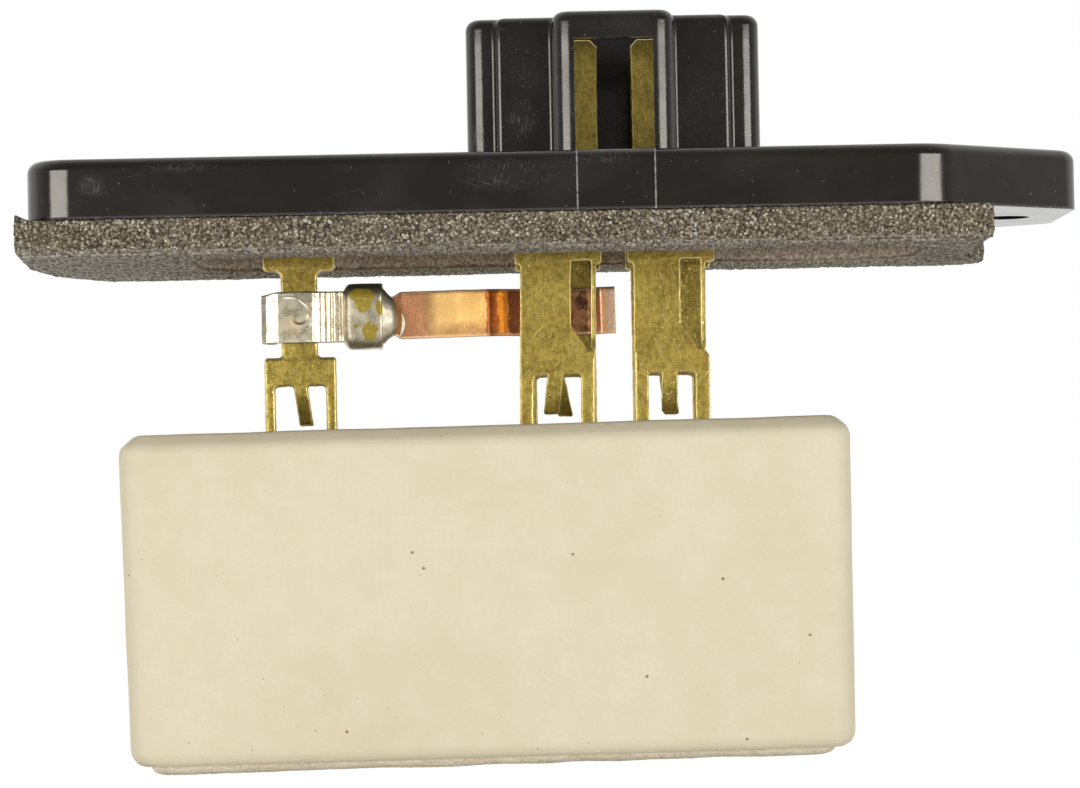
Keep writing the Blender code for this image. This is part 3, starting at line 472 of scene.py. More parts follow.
copperFinish = {
    # x and colour along the strip: pink by the solder, then painted light: a bright painted sheen on the
    # bowed stretch, painted shade and a bright-orange painted reflection in bands at the bend, painted shade
    # where it turns back behind the terminal, and paler painted reflections in bands where the end bends back
    "along": [(-16.5, (0.23, 0.105, 0.050)), (-13.6, (0.27, 0.130, 0.060)), (-12.2, (0.96, 0.60, 0.215)),
              (-7.45, (0.95, 0.56, 0.18)), (-7.25, (0.36, 0.095, 0.020)), (-6.20, (0.46, 0.12, 0.022)),
              (-6.05, (1.0, 0.36, 0.035)), (-5.15, (1.0, 0.34, 0.03)), (-5.0, (0.26, 0.066, 0.020)),
              (1.0, (0.36, 0.17, 0.07)), (3.6, (0.38, 0.18, 0.08)), (3.9, (0.50, 0.31, 0.19)),
              (4.35, (0.66, 0.44, 0.29)), (4.6, (0.95, 0.42, 0.12)), (4.9, (0.64, 0.45, 0.31)),
              (5.8, (0.66, 0.46, 0.32))],
    "burnt": rgb(0.045, 0.024, 0.014),
    "pale": rgb(1.0, 0.66, 0.40),
    "fluxRing": rgb(0.30, 0.12, 0.022),
    "ring": [(-17.55, -8.95, 1.55, 2.15, 0.10, 0.03)],
    # dark: the colour of the grain, and of the painted shade on the strip's lower part
    "dark": rgb(0.27, 0.10, 0.045),
    "low": [(-9.4, -11.2, 3.8, 1.5, 0.5, 0.3)],
}


def colourAlong(tree, value, stops):  # a gradient through colours at their places
    low, high = stops[0][0], stops[-1][0]
    gradient = addNode(tree, "ShaderNodeValToRGB", {0: remap(tree, value, low, high)})
    for place, colour in stops[1:-1]:
        gradient.color_ramp.elements.new((place - low) / (high - low))
    for element, (place, colour) in zip(gradient.color_ramp.elements, stops):
        element.color = rgb(*colour)
    return gradient.outputs["Color"]


def makeCopper():
    material, tree, shader, at = newMaterial("copper", Metallic=0.95)
    along = axes(tree, at)["X"]
    brushed = useGroup(tree, scratches, Position=at, Turn=0.9, Length=3.0, Width=0.07, Share=0.14)
    crossed = useGroup(tree, scratches, Position=at, Turn=-0.8, Length=2.4, Width=0.07, Share=0.12)
    patches = useGroup(tree, clouds, Position=at, Size=0.9, Detail=4.0, Low=0.40, High=0.58)
    grain = useGroup(tree, clouds, Position=at, Size=0.10, Detail=2.0, Low=0.36, High=0.66)
    sparkle = useGroup(tree, specks, Position=at, Spacing=0.26, Radius=0.09, Share=0.35)
    # Painted shade: the low spot darkens the lower part of the sheen stretch, so the painted sheen stays on
    # the upper part; pale sparkles are added there.
    low = spotMask(tree, at, copperFinish["low"])
    edge = useGroup(tree, edgeWearAndHighlight, Edge=edgeValue(tree), Position=at, Size=0.4, Breakup=0.6)
    welded = calc(tree, "MULTIPLY", remap(tree, along, -0.5, 0.5), remap(tree, along, 4.0, 3.7))
    uneven = calc(tree, "ADD", along, remap(tree, patches, 0.0, 1.0, -0.12, 0.12))
    colour = colourAlong(tree, uneven, copperFinish["along"])
    colour = tinted(tree, colour, copperFinish["dark"], low, 0.55)
    colour = tinted(tree, colour, copperFinish["dark"], grain, 0.28)
    scorch = calc(tree, "MULTIPLY", welded, patches)
    colour = tinted(tree, colour, copperFinish["burnt"], scorch, 0.85)
    lines = calc(tree, "MULTIPLY", calc(tree, "MAXIMUM", brushed, crossed), 0.24)
    glitter = calc(tree, "MULTIPLY", calc(tree, "MULTIPLY", low, sparkle), 0.6)
    light = calc(tree, "MAXIMUM", calc(tree, "MAXIMUM", lines, glitter), calc(tree, "MULTIPLY", edge, 0.5))
    colour = mixColour(tree, light, colour, copperFinish["pale"])
    colour = mixColour(tree, spotMask(tree, at, copperFinish["ring"]), colour, copperFinish["fluxRing"])
    roughness = remap(tree, calc(tree, "MAXIMUM", grain, scorch), 0.0, 1.0, 0.26, 0.38)
    wave = useGroup(tree, clouds, Position=at, Size=1.5, Detail=2.0, Low=0.0, High=1.0)
    normal = bump(tree, calc(tree, "ADD", brushed, grain), 0.004, bump(tree, wave, 0.02))
    connect(tree, shader, colour, roughness, normal)
    return material


ceramicFinish = {
    "body": rgb(0.715, 0.640, 0.462),
    "stain": rgb(0.640, 0.560, 0.380),
    "pale": rgb(0.775, 0.715, 0.555),
    "pinhole": rgb(0.24, 0.10, 0.035),
    "chip": rgb(0.46, 0.39, 0.26),
    "holes": [(0.9, -33.2), (-13.9, -34.3), (-15.0, -32.7), (15.7, -35.9), (8.0, -45.4), (24.2, -41.6),
              (-21.8, -50.3), (17.8, -51.8)],  # rusty pinholes, x and z
    "holeShape": (0.15, 0.13, 0.8, 0.3),  # half width, half height, ragged, soft
}


def makeCeramic():
    material, tree, shader, at = newMaterial("cream ceramic", Specular_IOR_Level=0.35)
    stains = useGroup(tree, clouds, Position=at, Size=16.0, Detail=5.0, Low=0.45, High=0.70)
    pale = useGroup(tree, clouds, Position=at, Size=2.6, Detail=4.0, Low=0.45, High=0.75)
    grain = useGroup(tree, clouds, Position=at, Size=0.24, Detail=3.0, Low=0.34, High=0.66)
    scattered = useGroup(tree, specks, Position=at, Spacing=6.4, Radius=0.17, Share=0.30)
    placedHoles = spotMask(tree, at, [place + ceramicFinish["holeShape"] for place in ceramicFinish["holes"]])
    pinholes = calc(tree, "MAXIMUM", scattered, placedHoles)
    smallHoles = useGroup(tree, specks, Position=at, Spacing=1.5, Radius=0.095, Share=0.50)
    edge = useGroup(tree, edgeWearAndHighlight, Edge=edgeValue(tree), Position=at, Size=2.0, Breakup=0.9)
    colour = tinted(tree, ceramicFinish["body"], ceramicFinish["stain"], stains, 0.50)
    colour = tinted(tree, colour, ceramicFinish["pale"], pale, 0.30)
    colour = tinted(tree, colour, ceramicFinish["stain"], grain, 0.20)
    holes = calc(tree, "MAXIMUM", pinholes, smallHoles)
    colour = tinted(tree, colour, ceramicFinish["pinhole"], holes, 0.85)
    colour = tinted(tree, colour, ceramicFinish["chip"], edge, 0.25)
    roughness = remap(tree, grain, 0.0, 1.0, 0.55, 0.74)
    pits = calc(tree, "SUBTRACT", calc(tree, "MULTIPLY", grain, 0.3), holes)
    connect(tree, shader, colour, roughness, bump(tree, pits, 0.04))
    return material


cementFinish = {
    "body": rgb(0.66, 0.575, 0.425),
    "grain": rgb(0.46, 0.38, 0.27),
    "rust": rgb(0.40, 0.15, 0.07),
    "ash": rgb(0.25, 0.24, 0.22),
    "pale": rgb(0.78, 0.71, 0.56),
    "rustPatch": [(-32.5, -54.2, 2.4, 1.6, 0.8, 0.4)],
    "ashPatch": [(10.6, -52.4, 2.0, 1.6, 0.8, 0.4)],
}


def makeCement():
    material, tree, shader, at = newMaterial("cement", Roughness=0.9, Specular_IOR_Level=0.2)
    grain = useGroup(tree, clouds, Position=at, Size=0.30, Detail=4.0, Low=0.42, High=0.62)
    pale = useGroup(tree, clouds, Position=at, Size=2.4, Detail=3.0, Low=0.42, High=0.62)
    sand = useGroup(tree, specks, Position=at, Spacing=0.7, Radius=0.24, Share=0.34)
    rust = useGroup(tree, specks, Position=at, Spacing=2.2, Radius=0.22, Share=0.25)
    dots = useGroup(tree, specks, Position=at, Spacing=0.30, Radius=0.11, Share=0.5)
    colour = tinted(tree, cementFinish["body"], cementFinish["grain"], grain, 0.45)
    colour = tinted(tree, colour, cementFinish["pale"], pale, 0.5)
    colour = tinted(tree, colour, cementFinish["grain"], sand, 0.40)
    colour = tinted(tree, colour, cementFinish["rust"], rust, 0.7)
    rusty = calc(tree, "MULTIPLY", dots, spotMask(tree, at, cementFinish["rustPatch"]))
    ashy = calc(tree, "MULTIPLY", dots, spotMask(tree, at, cementFinish["ashPatch"]))
    colour = tinted(tree, colour, cementFinish["rust"], rusty, 0.75)
    colour = tinted(tree, colour, cementFinish["ash"], ashy, 0.75)
    connect(tree, shader, colour, normal=bump(tree, calc(tree, "ADD", grain, sand), 0.05))
    return material


hiddenFinish = {
    "glass": rgb(0.82, 0.81, 0.74),
    "glassDark": rgb(0.64, 0.62, 0.55),
    # clean colour, dull colour and least roughness
    "wire": (rgb(0.46, 0.44, 0.41), rgb(0.24, 0.22, 0.20), 0.34),
    "cap": (rgb(0.62, 0.61, 0.57), rgb(0.42, 0.40, 0.36), 0.30),
}


def makeGlassFibre():
    material, tree, shader, at = newMaterial("glass fibre", Roughness=0.8)
    strands = useGroup(tree, clouds, Position=at, Size=0.25, Detail=3.0, Low=0.35, High=0.65)
    colour = mixColour(tree, strands, hiddenFinish["glass"], hiddenFinish["glassDark"])
    connect(tree, shader, colour, normal=bump(tree, strands, 0.04))
    return material


def makeGreyMetal(name, clean, dull, gloss):
    material, tree, shader, at = newMaterial(name, Metallic=0.9)
    patches = useGroup(tree, clouds, Position=at, Size=0.6, Detail=3.0, Low=0.4, High=0.7)
    connect(tree, shader, mixColour(tree, patches, clean, dull),
            remap(tree, patches, 0.0, 1.0, gloss, gloss + 0.2), bump(tree, patches, 0.01))
    return material


blackMoulding = makeBlackMoulding()
foamSurface = makeFoamSurface()
brass = makeBrass()
tinPlate = makeTinPlate()
solderMetal = makeSolder()
copper = makeCopper()
ceramic = makeCeramic()
cement = makeCement()
glassFibre = makeGlassFibre()
resistanceWire = makeGreyMetal("resistance wire", *hiddenFinish["wire"])
capSteel = makeGreyMetal("cap steel", *hiddenFinish["cap"])
print("materials made")


# Outlines, as lists of 2-D points

def cornerArc(before, here, after, radius, steps, shares):
    toBefore = before - here
    toAfter = after - here
    half = toBefore.angle(toAfter) / 2
    reach = min(radius / math.tan(half), toBefore.length * shares[0], toAfter.length * shares[1])
    radius = reach * math.tan(half)
    middle = here + (toBefore.normalized() + toAfter.normalized()).normalized() * radius / math.sin(half)
    start = here + toBefore.normalized() * reach - middle
    sweep = start.angle_signed(here + toAfter.normalized() * reach - middle)
    return [middle + Matrix.Rotation(-sweep * step / steps, 2) @ start for step in range(steps + 1)]


def roundedLoop(corners, closed=True, steps=5):  # each corner is x, y and a radius
    places = [Vector(corner[:2]) for corner in corners]
    points = []
    for index, (x, y, radius) in enumerate(corners):
        atEnd = not closed and index in (0, len(corners) - 1)
        if radius <= 0 or atEnd:
            points.append(places[index])
            continue
        after = (index + 1) % len(places)
        shares = [0.98 * radius / (radius + corners[other][2]) for other in (index - 1, after)]
        points.extend(cornerArc(places[index - 1], places[index], places[after], radius, steps, shares))
    return points


def mirrorRight(right):
    return right + [(-x, y, radius) for x, y, radius in reversed(right)]


def refined(points, spacing, closed=True):  # adds points to long runs
    result = []
    last = len(points) if closed else len(points) - 1
    for index in range(last):
        start = points[index]
        end = points[(index + 1) % len(points)]
        count = max(1, math.ceil((end - start).length / spacing))
        result.extend(start.lerp(end, step / count) for step in range(count))
    if not closed:
        result.append(points[-1])
    return result


def spaced(points, count):  # a closed loop again, as evenly spaced points
    lengths = [(points[(index + 1) % len(points)] - point).length for index, point in enumerate(points)]
    total = sum(lengths)
    result = []
    index = 0
    passed = 0.0
    for step in range(count):
        target = total * step / count
        while passed + lengths[index] < target:
            passed += lengths[index]
            index += 1
        share = (target - passed) / lengths[index]
        result.append(points[index].lerp(points[(index + 1) % len(points)], share))
    return result


def roundedBox(halfX, halfY, radius, count):  # a rounded rectangle as evenly spaced points
    corners = [(halfX, -halfY, radius), (halfX, halfY, radius),
               (-halfX, halfY, radius), (-halfX, -halfY, radius)]
    return spaced(roundedLoop(corners, steps=8), count)


def turnsLeft(points):
    area = sum(point.cross(points[(index + 1) % len(points)]) for index, point in enumerate(points))
    return area > 0


def sideNormals(points):  # at each point of a closed loop, the normal to its left and the mitre's length
    result = []
    for index, here in enumerate(points):
        into = (here - points[index - 1]).normalized()
        out = (points[(index + 1) % len(points)] - here).normalized()
        normal = Vector((-into.y - out.y, into.x + out.x)).normalized()
        lengthening = 1 / max(0.4, normal.dot(Vector((-into.y, into.x))))
        result.append((normal, lengthening))
    return result


# Meshes

def makePiece(name, verts, faces, surface, stands=(), edge=None, sharp=50, weighted=False):
    mesh = bpy.data.meshes.new(name)
    mesh.from_pydata([Vector(vert) * mm for vert in verts], [], faces)
    work = bmesh.new()
    work.from_mesh(mesh)
    bmesh.ops.recalc_face_normals(work, faces=work.faces)
    work.to_mesh(mesh)
    work.free()
    if edge:
        mesh.attributes.new("edge", "FLOAT", "POINT").data.foreach_set("value", edge)
    mesh.materials.append(surface)
    mesh.shade_smooth()
    mesh.set_sharp_from_angle(angle=math.radians(sharp))
    piece = bpy.data.objects.new(name, mesh)
    bpy.context.scene.collection.objects.link(piece)
    if weighted:
        piece.modifiers.new("flat faces stay flat", "WEIGHTED_NORMAL").keep_sharp = True
    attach(piece, "root")
    if stands:
        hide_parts(*stands)
    return piece


def tubeFaces(size, total, first=0):  # faces between neighbouring rings of points
    faces = []
    for start in range(first, first + total - size, size):
        for index in range(size):
            here = start + index
            after = start + (index + 1) % size
            faces.append((here, after, after + size, here + size))
    return faces


def joined(verts, faces, moreVerts, moreFaces):
    first = len(verts)
    return verts + moreVerts, faces + [tuple(first + index for index in face) for face in moreFaces]


stampedSheet = {
    "thickness": 0.8,
    "edgeRound": 0.17,
    "pointSpacing": 0.30,
    "wobble": 0.045,
    "wobbleSize": 0.8,
}


def wobbled(points, seed):  # a sheared edge is never quite straight
    size = stampedSheet["wobbleSize"]
    result = []
    for point, (normal, lengthening) in zip(points, sideNormals(points)):
        shift = noise.noise(Vector((point.x / size, point.y / size, seed)))
        result.append(point + normal * shift * stampedSheet["wobble"])
    return result


def stampedMesh(loops, seed, edgeRadius):
    # Loops in X and Z, the outline first and then its windows. Returns points, faces and edge values.
    half = stampedSheet["thickness"] / 2
    quarter = [math.radians(angle) for angle in (0, 30, 60, 90)]
    rings = [(1 - math.sin(angle), 1 - math.cos(angle), -1) for angle in quarter]
    rings += [(inset, depth, 1) for inset, depth, side in reversed(rings)]
    verts = []
    faces = []
    edge = []
    caps = ([], [])
    for number, loop in enumerate(loops):
        points = wobbled(refined(loop, stampedSheet["pointSpacing"]), seed + number)
        if turnsLeft(points) == (number > 0):
            points.reverse()
        normals = sideNormals(points)
        first = len(verts)
        count = len(points)
        radii = [edgeRadius(point) for point in points]
        for ring, (inset, depth, side) in enumerate(rings):
            for point, radius, (normal, lengthening) in zip(points, radii, normals):
                moved = point + normal * inset * radius * lengthening
                verts.append(Vector((moved.x, side * (half - depth * radius), moved.y)))
                edge.append(0.0 if ring in (0, len(rings) - 1) else 1.0)
        faces.extend(tubeFaces(count, len(rings) * count, first))
        caps[0].append(list(range(first, first + count)))
        caps[1].append(list(range(first + (len(rings) - 1) * count, first + len(rings) * count)))
    for cap in caps:
        flat = [index for loop in cap for index in loop]
        corners = [[Vector((verts[index].x, verts[index].z, 0)) for index in loop] for loop in cap]
        faces.extend(tuple(flat[index] for index in corner) for corner in tessellate_polygon(corners))
    return verts, faces, edge


def bendTang(verts, middle, halfWidth, root, length, lean, back):
    slack = stampedSheet["wobble"] + stampedSheet["edgeRound"]
    for vert in verts:
        drop = -root - vert.z
        if 0 < drop <= length + slack and abs(vert.x - middle) <= halfWidth + slack / 2:
            vert.x += lean * drop / length
            vert.y += back * (drop / length) ** 1.5


def placed(verts, offset):
    return [vert + Vector(offset) for vert in verts]


# Brass terminals

terminal = {
    "bladeWidth": 7.9, "bladeOffset": 0.3, "bladeTip": 18.2, "bladeChamfer": 0.65,
    "headWidth": 8.7, "headTop": 0.3, "headDepth": 4.2, "headCorner": 0.27,
    "stemWidth": 7.6, "forkRoot": 15.2, "forkTip": 32.5, "forkLeg": 1.47,
    "tangWidth": 1.6, "tangOffset": 0.25, "tangLength": 4.0, "tangBack": 1.2,
    "windowWidth": 2.0, "windowRail": 0.5, "windowTop": 3.9, "windowLong": 9.25, "windowShort": 6.4,
    "waistDepth": 13.1, "waistSlope": 1.6, "wornRound": 0.36, "leanLength": 15.0,
    # the rail beside the window: its turn, reach in from the edge, stop above the waist, and eased ends
    "railTurn": 0.36, "railReach": 1.2, "railStop": 0.2, "railEaseTop": 0.5, "railEaseFoot": 1.2,
}
terminalColumns = (0.0, 11.3)
terminalRows = (-5.75, 5.75)
terminalPlaces = {  # lean of the tang's tip, how far the stem's right edge is drawn in, and the stem's lean
    "front_middle_terminal": (-0.4, 0.0, -0.30),
    "rear_middle_terminal": (0.8, 0.0, 0.0),
    "front_right_terminal": (0.0, 0.35, -0.15),
    "rear_right_terminal": (0.4, 0.35, 0.0),
}
wornEdges = {  # edges with the wide rounding, as boxes: x from and to, z from and to
    "front_middle_terminal": [(3.5, 4.0, -33, -13.5), (-2.45, -2.2, -33, -15.7)],
    "front_right_terminal": [(-4.0, -3.6, -33, -13.2)],
}


def terminalLoops(waist, windowSide):
    t = terminal
    right = t["bladeOffset"] + t["bladeWidth"] / 2
    left = t["bladeOffset"] - t["bladeWidth"] / 2
    head = t["headWidth"] / 2
    stem = t["stemWidth"] / 2
    drawn = stem - waist
    leg = stem - t["forkLeg"]
    tangRight = t["tangWidth"] / 2 - t["tangOffset"]
    tangLeft = tangRight - t["tangWidth"]
    tip = t["bladeTip"]
    below = -t["forkRoot"] - t["tangLength"]
    shoulder = []
    if waist:
        shoulder = [(drawn, -t["waistDepth"], 0.3), (stem, -t["waistDepth"] - waist * t["waistSlope"], 0.3)]
    outline = [
        (left, tip - t["bladeChamfer"], 0.1), (left + t["bladeChamfer"], tip, 0.1),
        (right - t["bladeChamfer"], tip, 0.1), (right, tip - t["bladeChamfer"], 0.1),
        (right, -t["headTop"], 0.0), (head, -t["headTop"], 0.1),
        (head, -t["headDepth"], t["headCorner"]), (drawn, -t["headDepth"], t["headCorner"]),
        *shoulder,
        (stem, -t["forkTip"], 0.4), (leg, -t["forkTip"], 0.4),
        (leg, -t["forkRoot"], 0.4), (tangRight, -t["forkRoot"], 0.15),
        (tangRight, below, 0.3), (tangLeft, below, 0.3),
        (tangLeft, -t["forkRoot"], 0.15), (-leg, -t["forkRoot"], 0.4),
        (-leg, -t["forkTip"], 0.4), (-stem, -t["forkTip"], 0.4),
        (-stem, -t["headDepth"], t["headCorner"]), (-head, -t["headDepth"], t["headCorner"]),
        (-head, -t["headTop"], 0.1), (left, -t["headTop"], 0.0),
    ]
    windowRight = drawn - t["windowRail"]
    windowLeft = windowRight - t["windowWidth"]
    window = [
        (windowLeft, -t["windowTop"], 0.2), (windowRight, -t["windowTop"], 0.2),
        (windowRight, -t["windowTop"] - t["windowLong"], 0.15),
        (windowLeft, -t["windowTop"] - t["windowShort"], 0.15),
    ]
    window = [(x * windowSide, z, radius) for x, z, radius in window]
    return [roundedLoop(outline), roundedLoop(window)]


def settle(verts, lean):  # the stem leans between head and block, and the rail beside the window turns away
    t = terminal
    stem = t["stemWidth"] / 2
    for vert in verts:
        depth = -vert.z - t["headDepth"]
        vert.x += lean * min(1.0, max(0.0, depth / t["leanLength"]))
        toFoot = t["waistDepth"] - t["headDepth"] - t["railStop"] - depth
        if lean and 0 < depth and toFoot > 0 and vert.x > stem - t["railReach"]:
            ease = min(1.0, depth / t["railEaseTop"], toFoot / t["railEaseFoot"])
            vert.y += t["railTurn"] * (vert.x - stem + t["railReach"]) * ease


def makeTerminals():
    for seed, (name, (tangLean, waist, lean)) in enumerate(terminalPlaces.items()):
        low, high = nodeBox(name)
        middle = (low.x + high.x) / 2
        row = low.y + stampedSheet["thickness"] / 2
        worn = wornEdges.get(name, [])

        def edgeRadius(point):
            wide = any(left < point.x < right and foot < point.y < top for left, right, foot, top in worn)
            return terminal["wornRound"] if wide else stampedSheet["edgeRound"]

        # The rear pair is turned round: its windows are on the other side.
        loops = terminalLoops(waist, -1 if name.startswith("rear") else 1)
        verts, faces, edge = stampedMesh(loops, 10.0 * seed, edgeRadius)
        bendTang(verts, -terminal["tangOffset"], terminal["tangWidth"] / 2, terminal["forkRoot"],
                 terminal["tangLength"], tangLean, terminal["tangBack"])
        settle(verts, lean)
        makePiece(name + "_stamping", placed(verts, (middle, row, 0)), faces, brass,
                  [name], edge, weighted=True)


leftLeg = {
    "x": -26.3,
    "stakeWidth": 4.0, "stakeTop": 3.7,
    "headWidth": 7.4, "headTop": 0.3, "headDepth": 4.1, "headCorner": 0.55,
    "neckFillet": 0.7, "edgeRound": 0.3,
    "neckWidth": 3.7, "shoulder": 12.84, "forkWidth": 7.3, "forkRoot": 15.8, "forkTip": 32.5,
    "forkLeg": 1.1, "tangWidth": 1.45, "tangLength": 4.0, "tangLean": 0.5, "tangBack": 1.2,
}


def makeLeftLeg():
    t = leftLeg
    stake = t["stakeWidth"] / 2
    head = t["headWidth"] / 2
    neck = t["neckWidth"] / 2
    fork = t["forkWidth"] / 2
    leg = fork - t["forkLeg"]
    tang = t["tangWidth"] / 2
    right = [
        (stake, t["stakeTop"], 0.1), (stake, -t["headTop"], 0.0), (head, -t["headTop"], 0.1),
        (head, -t["headDepth"], t["headCorner"]), (neck, -t["headDepth"], t["neckFillet"]),
        (neck, -t["shoulder"], 0.35), (fork, -t["shoulder"], 0.4), (fork, -t["forkTip"], 0.4),
        (leg, -t["forkTip"], 0.4), (leg, -t["forkRoot"], 0.4), (tang, -t["forkRoot"], 0.3),
        (tang, -t["forkRoot"] - t["tangLength"], 0.25),
    ]
    verts, faces, edge = stampedMesh([roundedLoop(mirrorRight(right))], 77.0, lambda point: t["edgeRound"])
    bendTang(verts, 0, tang, t["forkRoot"], t["tangLength"], t["tangLean"], t["tangBack"])
    low, high = nodeBox("left_leg")
    middle = (low.x + high.x) / 2
    makePiece("left_leg_stamping", placed(verts, (middle, 0, 0)), faces, brass,
              ["left_leg"], edge, weighted=True)


makeTerminals()
makeLeftLeg()
print("brass stampings made")


# Foam gasket

foam = {
    "top": -0.06, "bottom": -3.6,
    "leftOut": 0.8, "bulge": 1.7, "backCut": 3.5, "rightShort": 9.5, "backRight": 3.4, "rightStep": 15.0,
    "openingLeft": -36.2, "openingRight": 36.4, "openingFront": -13.1, "openingBack": 11.2,
    "openingCorner": 6.0,
    "around": 1250, "quickAround": 300, "wallRows": 13, "underRows": 44, "innerRows": 8,
    "topShares": (0.75, 0.5, 0.25, 0.04), "insideFrom": 0.93, "edgeRound": 1.3,
    # sizes of cells, waves and ripples, and how far each moves the surface
    "cellSize": 0.36, "fineCellSize": 0.17, "cellRoughness": 0.20, "underRoughness": 0.42,
    "waveSize": 9.0, "waviness": 0.22, "rippleSize": 2.2, "ripple": 0.16,
    "curl": 0.75, "curlX": -52.3, "curlReach": 1.8,
}
foamLow, foamHigh = nodeBox("foam_gasket")


def foamLoops():
    f = foam
    low, high = nodeBox("mounting_plate")
    left = low.x - f["leftOut"]
    right = high.x - f["rightShort"]
    side = high.y
    outer = [
        (left, -side, 0.5), (right, -side, 0.4), (right, side - f["rightStep"], 2.0),
        (right + f["backRight"], side - f["backRight"], 0.5),
        (right + f["backRight"] / 2, side, 0.4), (left + f["backCut"], side, 0.5),
        (left - f["bulge"] / 2, side / 2, side / 4), (left - f["bulge"], 0, side / 2),
    ]
    corner = f["openingCorner"]
    opening = [
        (f["openingLeft"], f["openingFront"], corner),
        (f["openingRight"], f["openingFront"], corner),
        (f["openingRight"], f["openingBack"], corner),
        (f["openingLeft"], f["openingBack"], corner),
    ]
    return roundedLoop(outer), roundedLoop(opening)


def makeFoam():
    f = foam
    count = f["around"]
    outer, inner = (spaced(loop, count) for loop in foamLoops())
    height = f["top"] - f["bottom"]
    section = [(0.0, f["top"] - height * row / f["wallRows"]) for row in range(f["wallRows"])]
    section += [(row / f["underRows"], f["bottom"]) for row in range(f["underRows"])]
    section += [(1.0, f["bottom"] + height * row / f["innerRows"]) for row in range(f["innerRows"] + 1)]
    section += [(share, f["top"]) for share in f["topShares"]]
    outward = [-normal for normal, lengthening in sideNormals(outer)]
    inward = [normal for normal, lengthening in sideNormals(inner)]
    verts = []
    inside = []
    for share, z in section:
        for start, end, away, back in zip(outer, inner, outward, inward):
            point = start.lerp(end, share)
            across = (end - start).length
            verts.append(roughFoam(Vector((point.x, point.y, z)), share, across, away, back))
            inside.append(1.0 if share == 1.0 else 0.5 if share > f["insideFrom"] else 0.0)
    faces = []
    rows = len(section)
    for row in range(rows):
        for index in range(count):
            here = row * count + index
            after = row * count + (index + 1) % count
            below = (row + 1) % rows * count
            faces.append((here, after, below + (index + 1) % count, below + index))
    piece = makePiece("foam_gasket_soft", verts, faces, foamSurface, ["foam_gasket"],
                      inside, sharp=180)


def roughFoam(point, share, across, away, back):
    # Cut foam: open cells everywhere, rounded lower edges, and a slow wave along the cut walls.
    f = foam
    if point.z > f["top"] - 0.01:  # the front left corner curls up beside the plate
        apart = math.hypot(point.x - f["curlX"], point.y - foamLow.y)
        point.z += f["curl"] * max(0.0, 1 - apart / f["curlReach"]) ** 1.4
        return point
    cell = noise.noise(point / f["cellSize"]) + 0.5 * noise.noise(point / f["fineCellSize"])
    wave = noise.noise(point / f["waveSize"]) * f["waviness"]
    wave += noise.noise(point / f["rippleSize"]) * f["ripple"]
    moved = point.copy()
    turn = f["edgeRound"]
    if share in (0.0, 1.0):
        out = Vector((*(away if share == 0.0 else back), 0))
        lift = max(0.0, 1 - (point.z - f["bottom"]) / turn)
        moved += out * (cell * f["cellRoughness"] + wave - turn * (1 - math.sqrt(1 - lift * lift * 0.75)))
    if point.z < f["bottom"] + 0.01:
        near = min(share, 1 - share) * across
        lift = max(0.0, 1 - near / turn)
        rise = turn * (1 - math.sqrt(1 - lift * lift)) * 0.6
        moved.z += abs(cell) * f["underRoughness"] + abs(wave) * 0.4 + rise
    moved.x = max(moved.x, foamLow.x)
    moved.y = min(max(moved.y, foamLow.y), foamHigh.y)
    return moved


makeFoam()
print("foam gasket made")


# Mounting plate with its connector

plate = {
    "length": 102.9, "width": 45.0, "height": 5.9, "corner": 4.6, "rimRound": 1.15,
    "earLength": 14.95, "earEnd": 20.6, "earCorner": 3.5, "earBend": 6.0,
    "screwHole": 5.2, "screwX": 45.35, "footRound": 0.14,
    "witnessLines": [1.92, 9.45], "lineWidth": 0.05,
    "bladeSlot": (7.96, 0.86), "stakeSlot": (4.1, 0.9), "stakeDepth": 4.0,
}
connector = {
    "middle": 5.8, "half": 14.6, "front": -9.15, "back": 10.65, "top": 20.2, "wall": 1.2, "floor": 5.5,
    "stepHalf": 11.65, "stepFront": -10.1, "keyHalf": 6.0, "keyFront": -15.0,
    "corner": 1.75, "stepCorner": 0.6, "fold": 0.4, "rimRound": 1.08, "innerRound": 0.11, "foot": 0.15,
    "windowHalf": 3.875, "windowLow": 6.1, "windowHigh": 17.45, "edgeLine": 0.09,
}


def socketLoop(inset):  # the connector's outline drawn in by the inset, always with as many points
    c = connector
    convex = max(c["corner"] - inset, 0.12)
    step = max(c["stepCorner"] - inset, 0.12)
    fold = c["fold"] + inset
    half = c["half"] - inset
    stepHalf = c["stepHalf"] - inset
    keyHalf = c["keyHalf"] - inset
    front = c["front"] + inset
    stepFront = c["stepFront"] + inset
    keyFront = c["keyFront"] + inset
    right = [
        (half, c["back"] - inset, convex), (half, front, convex),
        (stepHalf, front, fold), (stepHalf, stepFront, step),
        (keyHalf, stepFront, fold), (keyHalf, keyFront, convex),
        (c["windowHalf"] + c["edgeLine"], keyFront, 0), (c["windowHalf"], keyFront, 0),
    ]
    return [point + Vector((c["middle"], 0)) for point in roundedLoop(mirrorRight(right), steps=6)]


def plateLoop():
    p = plate
    end = p["length"] / 2
    side = p["width"] / 2
    lines = [(x + offset * p["lineWidth"], -side, 0) for x in p["witnessLines"] for offset in (-3, -1, 1, 3)]
    corners = [
        (-end, -side, p["corner"]), *lines, (end - p["earLength"], -side, p["earBend"]),
        (end, -p["earEnd"] / 2, p["earCorner"]), (end, p["earEnd"] / 2, p["earCorner"]),
        (end - p["earLength"], side, p["earBend"]), (-end, side, p["corner"]),
    ]
    points = roundedLoop(corners, steps=10)
    pale = [any(abs(abs(point.x - x) - p["lineWidth"]) < 0.01 for x in p["witnessLines"])
            and point.y < 0.01 - side for point in points]
    return points, pale


def circle(x, y, radius, steps=40):
    turns = [2 * math.pi * step / steps for step in range(steps)]
    return [Vector((x + radius * math.cos(turn), y + radius * math.sin(turn))) for turn in turns]


def rectangle(x, y, size):
    halfX, halfY = size[0] / 2, size[1] / 2
    return [Vector((x - halfX, y - halfY)), Vector((x + halfX, y - halfY)),
            Vector((x + halfX, y + halfY)), Vector((x - halfX, y + halfY))]


